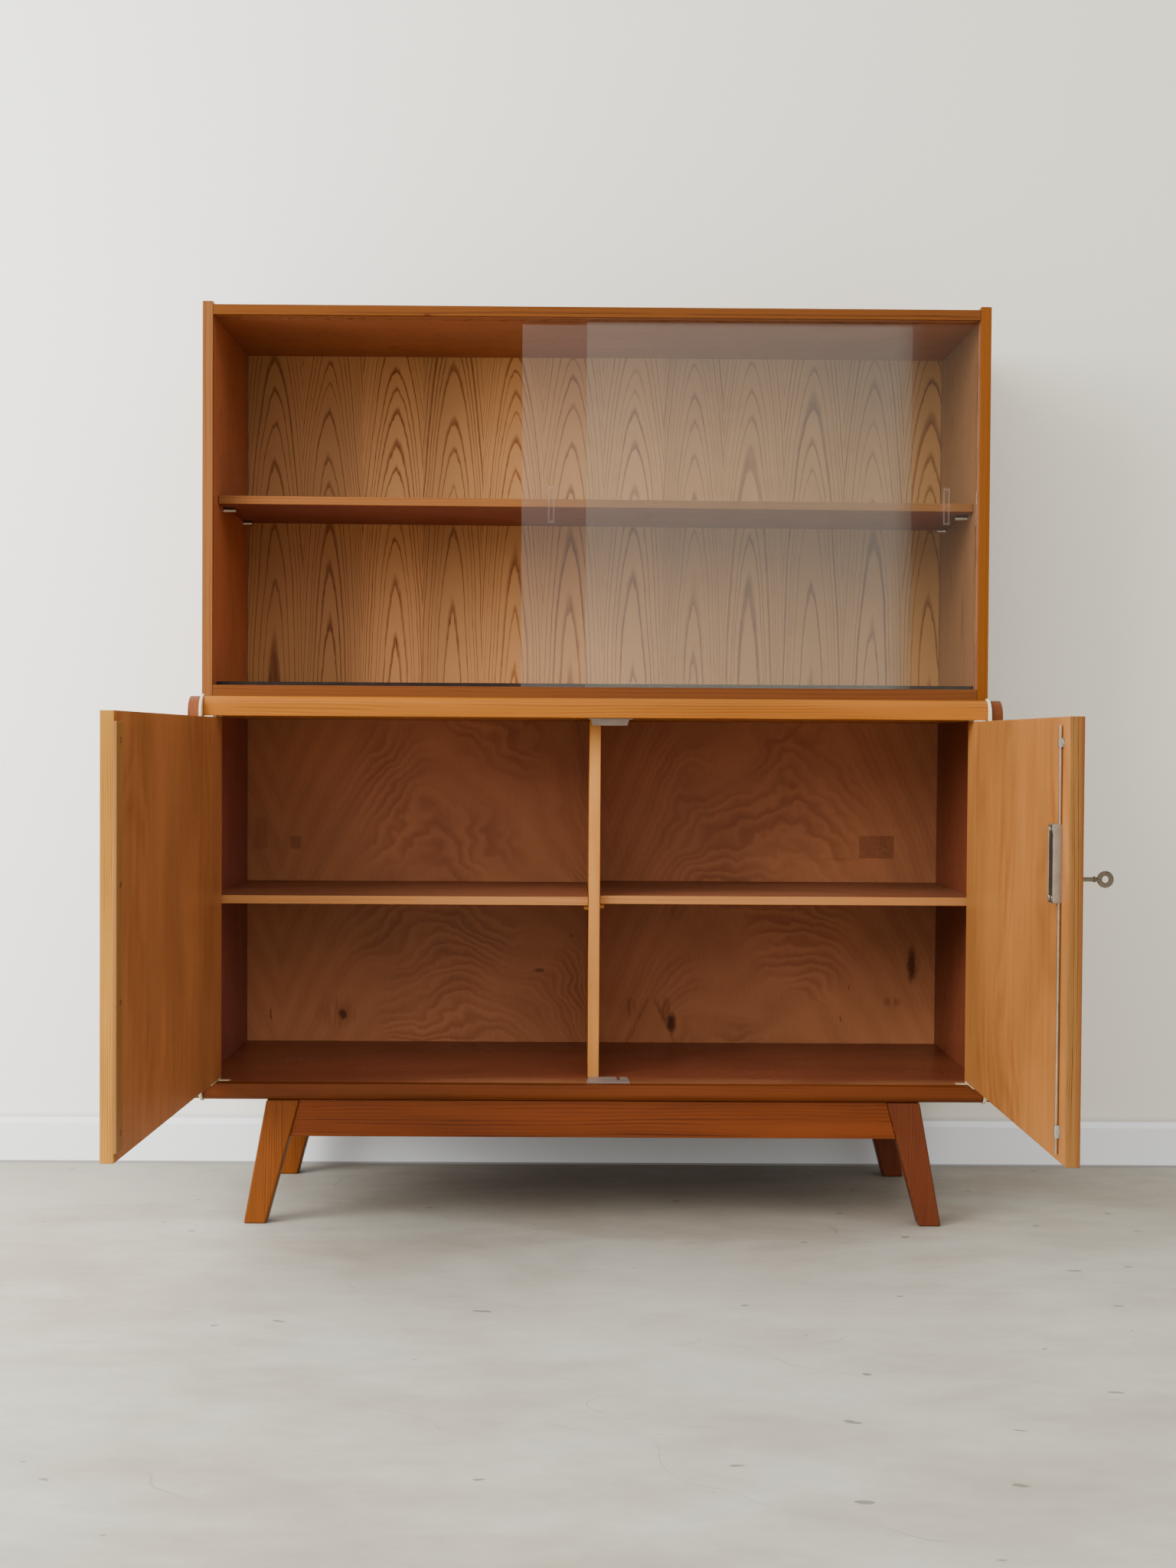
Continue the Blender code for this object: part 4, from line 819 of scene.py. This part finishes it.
def rounded_outline(half_wide, half_tall, radius, steps=6):
    radius = min(radius, half_wide, half_tall)
    points = []
    for corner, (sx, sy) in enumerate(((1, 1), (-1, 1), (-1, -1), (1, -1))):
        for i in range(steps + 1):
            t = math.pi / 2 * (corner + i / steps)
            wide, tall = (half_wide - radius) * sx, (half_tall - radius) * sy
            points.append((wide + radius * math.cos(t), tall + radius * math.sin(t)))
    return points


def join(*shapes):
    verts, faces = [], []
    for more_verts, more_faces in shapes:
        faces += [tuple(i + len(verts) for i in face) for face in more_faces]
        verts += more_verts
    return verts, faces


def slotted_head(centre, facing, radius, rise, slot_turn):
    """A turned screw head with a sawn slot: two half domes with the slot's floor between them."""
    facing, first, second = square_axes(facing)
    a = first * math.cos(slot_turn) + second * math.sin(slot_turn)
    b = facing.cross(a)
    gap, shapes, corners = radius * 0.13, [], 12
    for sign in (1, -1):
        rings = []
        for lift, grow in ((0, 1), (0.35, 0.99), (0.7, 0.86), (0.9, 0.66), (1, 0.4)):
            reach, middle = radius * grow, Vector(centre) + facing * rise * lift
            limit = math.acos(min(1, gap / reach))
            turns = [-limit + 2 * limit * i / corners for i in range(corners + 1)]
            rings.append([middle + (b * sign * math.cos(t) + a * math.sin(t)) * reach for t in turns])
        shapes.append(skin(rings))
    shapes.append(lathe([(0, radius * 0.98), (rise * 0.35, radius * 0.96)], centre, facing, 24))
    return join(*shapes)


print("hardware helpers ready")

# %% [markdown]
# ## The lock on the right door
#
# The lock is a pressed steel box with soft corners, a face let in a little, and four
# screws. The face's dark brown tone is a painted reflection of the cabinet's dark inside.
# Its skin joins rounded outlines that step up from the door, turn over the rim and drop
# into the face.
# %% Lock cover
LOCK_Y, COVER_HALF = -0.406716, 0.013


def millimetres(*values):
    return [v / 1000 for v in values]


low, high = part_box("lock_case")
door_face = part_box("door_right_panel")[0].x
cover_z, half_z, proud = (low.z + high.z) / 2, (high.z - low.z) / 2, door_face - low.x
top = proud * 1000
# Each step: height above the door, inset from the outline and corner radius, in millimetres.
COVER_STEPS = ((0.0001, 0, 3), (top - 2.6, 0, 3), (top - 1.5, 0.35, 3), (top - 0.7, 1, 2.8),
               (top - 0.15, 1.9, 2.4), (top, 2.6, 2), (top - 0.1, 2.95, 1.8), (top - 0.9, 3.15, 1.7),
               (top - 1.2, 3.5, 1.5))
loops = []
for step in COVER_STEPS:
    height, inset, radius = millimetres(*step)
    outline = rounded_outline(COVER_HALF - inset, half_z - inset, radius)
    loops.append([(door_face - height, LOCK_Y + u, cover_z + v) for u, v in outline])
cover = new_piece("lock_cover", *skin(loops), steel, "door_right", 50)
cover.data.materials.append(lock_face_painted_reflection)
for face in cover.data.polygons:
    if face.center.x > low.x + 0.0008 and face.area > 0.0005 and face.normal.x < -0.9:
        face.material_index = 1
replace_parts(cover, "lock_case")
CORNER_Y, CORNER_Z = 0.0066, 0.0062
heads = []
for sy, sz in ((-1, -1), (-1, 1), (1, -1), (1, 1)):
    corner = (low.x + 0.0012, LOCK_Y + sy * CORNER_Y, cover_z + sz * (half_z - CORNER_Z))
    heads.append(slotted_head(corner, (-1, 0, 0), 0.0026, 0.0013, 0.4 + sy + sz * 0.7))
new_piece("lock_cover_screws", *join(*heads), bright_screw, "door_right")
print("lock cover", [round(v * 1000, 1) for v in low])

# %% [markdown]
# ## Rods and their guides
#
# Two thin rods with rounded ends run from the lock to guides near the door's ends. A guide is
# a strip of steel bent over the rod, with one screw beside it. Its bent line is copied outward
# by the thickness of the strip, and the outline between the two lines is drawn upward.
# %% Rods and guides
for name in ("upper_rod", "lower_rod"):
    low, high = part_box(name)
    middle, radius, tall = (low + high) / 2, (high.x - low.x) / 2, high.z - low.z
    end = [(0, radius * 0.55), (0.0006, radius * 0.9), (0.0016, radius)]
    profile = end + [(tall - along, wide) for along, wide in reversed(end)]
    turned = lathe(profile, (middle.x, middle.y, low.z), (0, 0, 1), 20)
    stand_in(name, name + "_turned", turned, rod_steel, name)

STRIP, HUG, SCREW_ASIDE = 0.0009, 0.0022, 0.0064
rod_middle = middle_of("lower_rod")
rise = door_face - rod_middle.x
# Each point of the bent line: how far to the side of the rod, and how far above the door.
bent = [(-0.0088, 0), (-0.004, 0)]
for step in range(11):
    t = math.pi * step / 10
    bent.append((-(HUG + 0.0004) * math.cos(t), rise + HUG * math.sin(t)))
bent += [(0.004, 0), (0.0088, 0)]
inside_line = [(rod_middle.y - s, door_face - h) for s, h in bent]
outside_line = []
for index, (y, x) in enumerate(inside_line):
    away = Vector((y - rod_middle.y, x - rod_middle.x)).normalized()
    if index < 2 or index > len(inside_line) - 3:
        away = Vector((0, -1))
    outside_line.append((y + away.x * STRIP, x + away.y * STRIP))
for name in ("rod_guide_upper", "rod_guide_lower"):
    low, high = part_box(name)
    loops = [[(x, y, z) for y, x in inside_line + outside_line[::-1]] for z in (low.z, high.z)]
    stand_in(name, name + "_clip", skin(loops), rod_steel, "door_right", 30)
    screw_place = (door_face - STRIP, rod_middle.y - SCREW_ASIDE, (low.z + high.z) / 2)
    head = slotted_head(screw_place, (-1, 0, 0), 0.0023, 0.0014, 0.9)
    new_piece(name + "_screw", *head, bright_screw, "door_right")
print("two rods and two guides made")

# %% [markdown]
# ## The key
#
# A cast key: a round stem with two collars, a flat ring to hold it by and a small bit. The
# stem is turned on the lathe and the ring is a torus whose section is a rounded oblong.
# %% Key
low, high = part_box("key")
KEY_Z, BOW_INSET, BOW_RADIUS, SPOKES = 0.5311, 0.0099, 0.0069, 56
bow = Vector((high.x - BOW_INSET, LOCK_Y, KEY_Z))
ALONG = millimetres(0, 0.4, 1, 46, 46.6, 47.4, 48.2, 49, 50.2, 51.2, 52, 53.2)
RADII = millimetres(2, 2.5, 2.75, 2.75, 3.4, 3.6, 3.6, 3.1, 2.5, 2.1, 1.9, 1.7)
stem = lathe(list(zip(ALONG, RADII)), (low.x, LOCK_Y, KEY_Z), (1, 0, 0), 28)
section = rounded_outline(0.003, 0.0014, 0.0012, 4)
rings = []
for i in range(SPOKES):
    turn = 2 * math.pi * i / SPOKES
    spoke = Vector((math.cos(turn), 0, math.sin(turn)))
    rings.append([bow + spoke * (BOW_RADIUS + u) + Vector((0, v, 0)) for u, v in section])
rings.append(rings[0])
ring = skin(rings, closed_ends=False)
bit_steps = []
for out, inset in ((0, 0.0003), (0.0003, 0), (0.0025, 0), (0.0028, 0.0003)):
    outline = rounded_outline(0.0022 - inset, 0.0031 - inset, 0.0004)
    bit_steps.append([(low.x + 0.0003 + out, LOCK_Y + u * 0.5, KEY_Z - 0.0031 + v) for u, v in outline])
stand_in("key", "key_cast", join(stem, ring, skin(bit_steps)), key_steel, "key", 40)
print("key", [round(v * 1000, 1) for v in low], "to", [round(v * 1000, 1) for v in high])

# %% [markdown]
# ## Screws of the closing strip
#
# Four small slotted screws hold the closing strip to the left door, sunk flush with the wood.
# %% Closing strip screws
for index in range(1, 5):
    name = "closing_strip_screw_%d" % index
    low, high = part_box(name)
    centre = Vector((high.x - 0.0006, (low.y + high.y) / 2, (low.z + high.z) / 2))
    shank = [(0, 0.0008), (0.002, 0.0012), (0.0095, 0.0012), (0.0106, 0.0022)]
    stem = lathe(shank, (low.x + 0.0001, centre.y, centre.z), (1, 0, 0), 16)
    head = slotted_head(centre, (1, 0, 0), 0.0023, 0.0006, 0.7 * index)
    stand_in(name, name + "_turned", join(head, stem), brass_steel, "door_left")
print("four screws turned")

# %% [markdown]
# ## Shelf pins
#
# The upper shelf rests on four steel pins with a rounded nose and a thin collar at the side.
# %% Shelf pins
for name in nodes_like("upper_shelf_pin"):
    low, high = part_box(name)
    centre, long, radius = (low + high) / 2, high.x - low.x, (high.z - low.z) / 2
    inward = 1 if centre.x < 0 else -1
    start = (low.x if inward == 1 else high.x, centre.y, centre.z)
    neck, nose = radius * 0.62, radius * 0.93
    body = [(0, radius * 0.5), (0.0008, neck), (0.0078, neck), (0.008, radius), (0.0094, radius),
            (0.0098, nose), (long - 0.0016, nose), (long - 0.0006, radius * 0.8), (long, radius * 0.5)]
    stand_in(name, name + "_turned", lathe(body, start, (inward, 0, 0), 28), steel, "case")
print("shelf pins turned")

# %% [markdown]
# ## The sliding panes
#
# Glass is a plain Principled shader with full transmission. A little dust shows only as a
# slightly higher roughness. Near its outer end each pane has a small ground hollow for a
# finger, drawn here as a rough frame. Light that is on its way to the wood goes straight
# through, because bent light through two panes would take very many samples.
# %% Finish of the panes
GRIP_WIDE, GRIP_TALL, GRIP_INSET, GRIP_Z = 0.012, 0.056, 0.044, 1.0375


def hollow(x, z, grip_x, shrink_x, shrink_z, soft):
    """A soft rectangle round the middle of the finger grip."""
    half_wide, half_tall = GRIP_WIDE / 2 - shrink_x, GRIP_TALL / 2 - shrink_z
    return patch(x, z, (grip_x - half_wide, GRIP_Z - half_tall), (grip_x + half_wide, GRIP_Z + half_tall),
                 soft)


def pane_finish(name, grip_x):
    finish, shader, x, y, z = start_finish(name)
    dust = noise((x * 6, y, z * 6), scale=4, detail=5, roughness=0.65).ramp(0.45, 0.8)
    inner = hollow(x, z, grip_x, 0.003, 0.004, 0.001)
    ground = hollow(x, z, grip_x, 0, 0, 0.0018) * (1 - inner * 0.7)
    colour = blend(dust * 0.25, (247, 250, 248), (236, 240, 237))
    lay_on(shader, colour, dust * 0.02 + ground * 0.3)
    shader.inputs["Transmission Weight"].default_value = 1
    shader.inputs["IOR"].default_value = 1.56
    passing = ray_is("Shadow", "Diffuse")
    lay_over(shader, passing, made("ShaderNodeBsdfTransparent", {"Color": (244, 247, 245)}))
    return finish


for name, sign in (("glass_left", 1), ("glass_right", -1)):
    low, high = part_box(name)
    outer_edge = low.x if sign == 1 else high.x
    dress(pane_finish(name + "_clear", outer_edge + sign * GRIP_INSET), name)
print("panes dressed, finger grips", GRIP_TALL, "m tall")

# %% [markdown]
# ## The room
#
# A pale concrete floor, a pale wall and a low skirting board are stage pieces, not part of
# the cabinet. All are see-through from behind, and the wall lets light pass that has only a
# finger's breadth to go, so that the back of the cabinet can be looked at.
# %% Floor, wall and skirting
WALL_Y, WALL_TOP, SKIRT_Y, SKIRT_TOP, BEVEL, REACH = 0.462, 5, 0.452, 0.064, 0.008, 7


def band(name, near, far, finish):
    """A sheet across the whole room, from one (y, z) to another."""
    (near_y, near_z), (far_y, far_z) = near, far
    corners = [(-REACH, near_y, near_z), (REACH, near_y, near_z), (REACH, far_y, far_z),
               (-REACH, far_y, far_z)]
    mesh = bpy.data.meshes.new(name)
    mesh.from_pydata(corners, [], [(0, 1, 2, 3)])
    mesh.materials.append(finish)
    add_object(name, mesh)


def stage_finish(name, colour_of, rough, let_near=False):
    finish, shader, x, y, z = start_finish(name)
    colour, height = colour_of(x, y, z)
    lay_on(shader, colour, rough, bump(height, 0.25, 0.001))
    shader.inputs["Specular IOR Level"].default_value = 0.3
    hidden = made("ShaderNodeNewGeometry", out="Backfacing")
    if let_near:
        length = made("ShaderNodeLightPath", out="Ray Length")
        hidden = hidden.most(length.fall(0.04, 0.06) * (1 - ray_is("Camera")))
    lay_over(shader, hidden, made("ShaderNodeBsdfTransparent"))
    return finish


def concrete(x, y, z):
    point = spot(x, y, z)
    drift = noise(point, scale=1.1, detail=4, roughness=0.55)
    cloud = noise((x * 2.2, y * 4.4, z), scale=1.6, detail=5, roughness=0.62)
    mottle = noise((x * 15, y * 24, z), detail=6, roughness=0.74)
    colour = blend((drift * 0.6 + cloud * 0.4).ramp(0.38, 0.6), (171, 162, 147), (185, 183, 171))
    colour = shade(colour, cloud.ramp(0.35, 0.65, 0.97, 1.03) + (mottle - 0.5) * 0.4)
    sweep = noise((x * 0.9 + y * 0.5, y * 1.5, 3), scale=2.4) - 0.5
    hair = sweep.size().fall(0, 0.003)
    scratch = hair * noise(point, scale=5).ramp(0.5, 0.62)
    colour = blend(scratch * 0.45, colour, (134, 128, 118))
    dash = noise((x * 24 + y * 9, y * 44, 8), detail=1).ramp(0.745, 0.775)
    colour = blend(dash * 0.7, colour, (104, 98, 90))
    # Painted shadow: the floor is darkened where something stands close above it, as measured by ambient
    # occlusion.
    open_above = made("ShaderNodeAmbientOcclusion", {"Distance": 0.6}, "AO", samples=6)
    colour = blend(open_above.ramp(0.05, 0.95, 0.55, 0), colour, (92, 82, 72))
    return colour, cloud + mottle * 0.3 - scratch * 0.3


def plaster(x, y, z):
    point = spot(x, y, z)
    roller = noise(point, scale=240, detail=3)
    cloud = noise(point, scale=0.8)
    # Painted light and shade: the wall is whiter to the left and darker and warmer toward the right, as the
    # light comes from the left.
    warm = x.ramp(-1.3, 0.6)
    colour = blend(warm, (254, 253, 250), (241, 237, 221))
    # A grey line on the wall just above the skirting.
    grey_line = z.hump(0.068, 0.072, 0.074, 0.082)
    colour = blend(grey_line * 0.45, colour, (176, 172, 166))
    return blend(cloud * 0.15, colour, (222, 219, 213)), roller


def skirting_paint(x, y, z):
    brush = noise((x * 3, y, z * 200))
    colour = blend(brush * 0.3, (246, 249, 251), (238, 241, 243))
    # Painted shadow: a dark line along the foot of the skirting, where it meets the floor.
    painted_shadow_line = z.fall(0.0025, 0.0045)
    return blend(painted_shadow_line * 0.75, colour, (104, 98, 92)), brush


skirt_finish = stage_finish("skirting_paint", skirting_paint, 0.5)
band("stage_floor", (-REACH, 0), (REACH, 0), stage_finish("pale_concrete", concrete, 0.62))
band("stage_wall", (WALL_Y, 0), (WALL_Y, WALL_TOP), stage_finish("pale_plaster", plaster, 0.85, True))
band("stage_skirting_front", (SKIRT_Y, 0), (SKIRT_Y, SKIRT_TOP), skirt_finish)
band("stage_skirting_top", (SKIRT_Y, SKIRT_TOP), (WALL_Y, SKIRT_TOP + BEVEL), skirt_finish)
print("room ready")

# %% [markdown]
# ## Light
#
# Daylight comes from the left of the camera and fills the rest of the room softly. Two area
# lamps stand for the windows and the world for the room. Seen by the camera, in glass and in
# metal, the world is a pale room; that share doesn't light the cabinet.
# %% Lamps and world
def window(name, place, target, size, power, colour):
    data = bpy.data.lights.new(name, "AREA")
    data.shape, data.size, data.size_y, data.energy, data.color = "RECTANGLE", size[0], size[1], power, colour
    lamp = add_object(name, data)
    lamp.location = place
    lamp.rotation_euler = (Vector(target) - Vector(place)).to_track_quat("-Z", "Y").to_euler()
    lamp.visible_glossy = False


window("window_left", place=(-3, -2, 2.3), target=(-0.8, 0.45, 0.7), size=(2.4, 2.2), power=175,
       colour=(1, 0.985, 0.965))
window("window_far_left", place=(-2.7, -0.9, 1.3), target=(-1.3, 0.46, 0.7), size=(1.5, 1.8), power=72,
       colour=(0.96, 1, 1))

world = bpy.data.worlds.new("pale_room")
bpy.context.scene.world = world
world.use_nodes = True
Bench.tree = world.node_tree
across, depth, upward = axes(made("ShaderNodeTexCoord", out="Generated"))
lateral = across.ramp(-0.7, 0.7)
frontal = depth.fall(-0.9, 0.1)
height = upward.ramp(-0.05, 0.6, 0.12, 1.45)
daylight = 0.46 + frontal * height * (2.15 - lateral * 0.8)
shown = blend(lateral, (255, 245, 232), (224, 214, 201))
far_corner = across.ramp(0.163, 0.182)
shown = blend(far_corner * 0.8, shown, (128, 114, 96))
seen = ray_is("Camera", "Glossy", "Transmission")
background = Bench.tree.nodes["Background"].inputs
put(background["Color"], blend(seen, (1, 0.99, 0.975, 1), shown))
put(background["Strength"], daylight * (1 - seen) + seen * 1.1)
print("light ready")
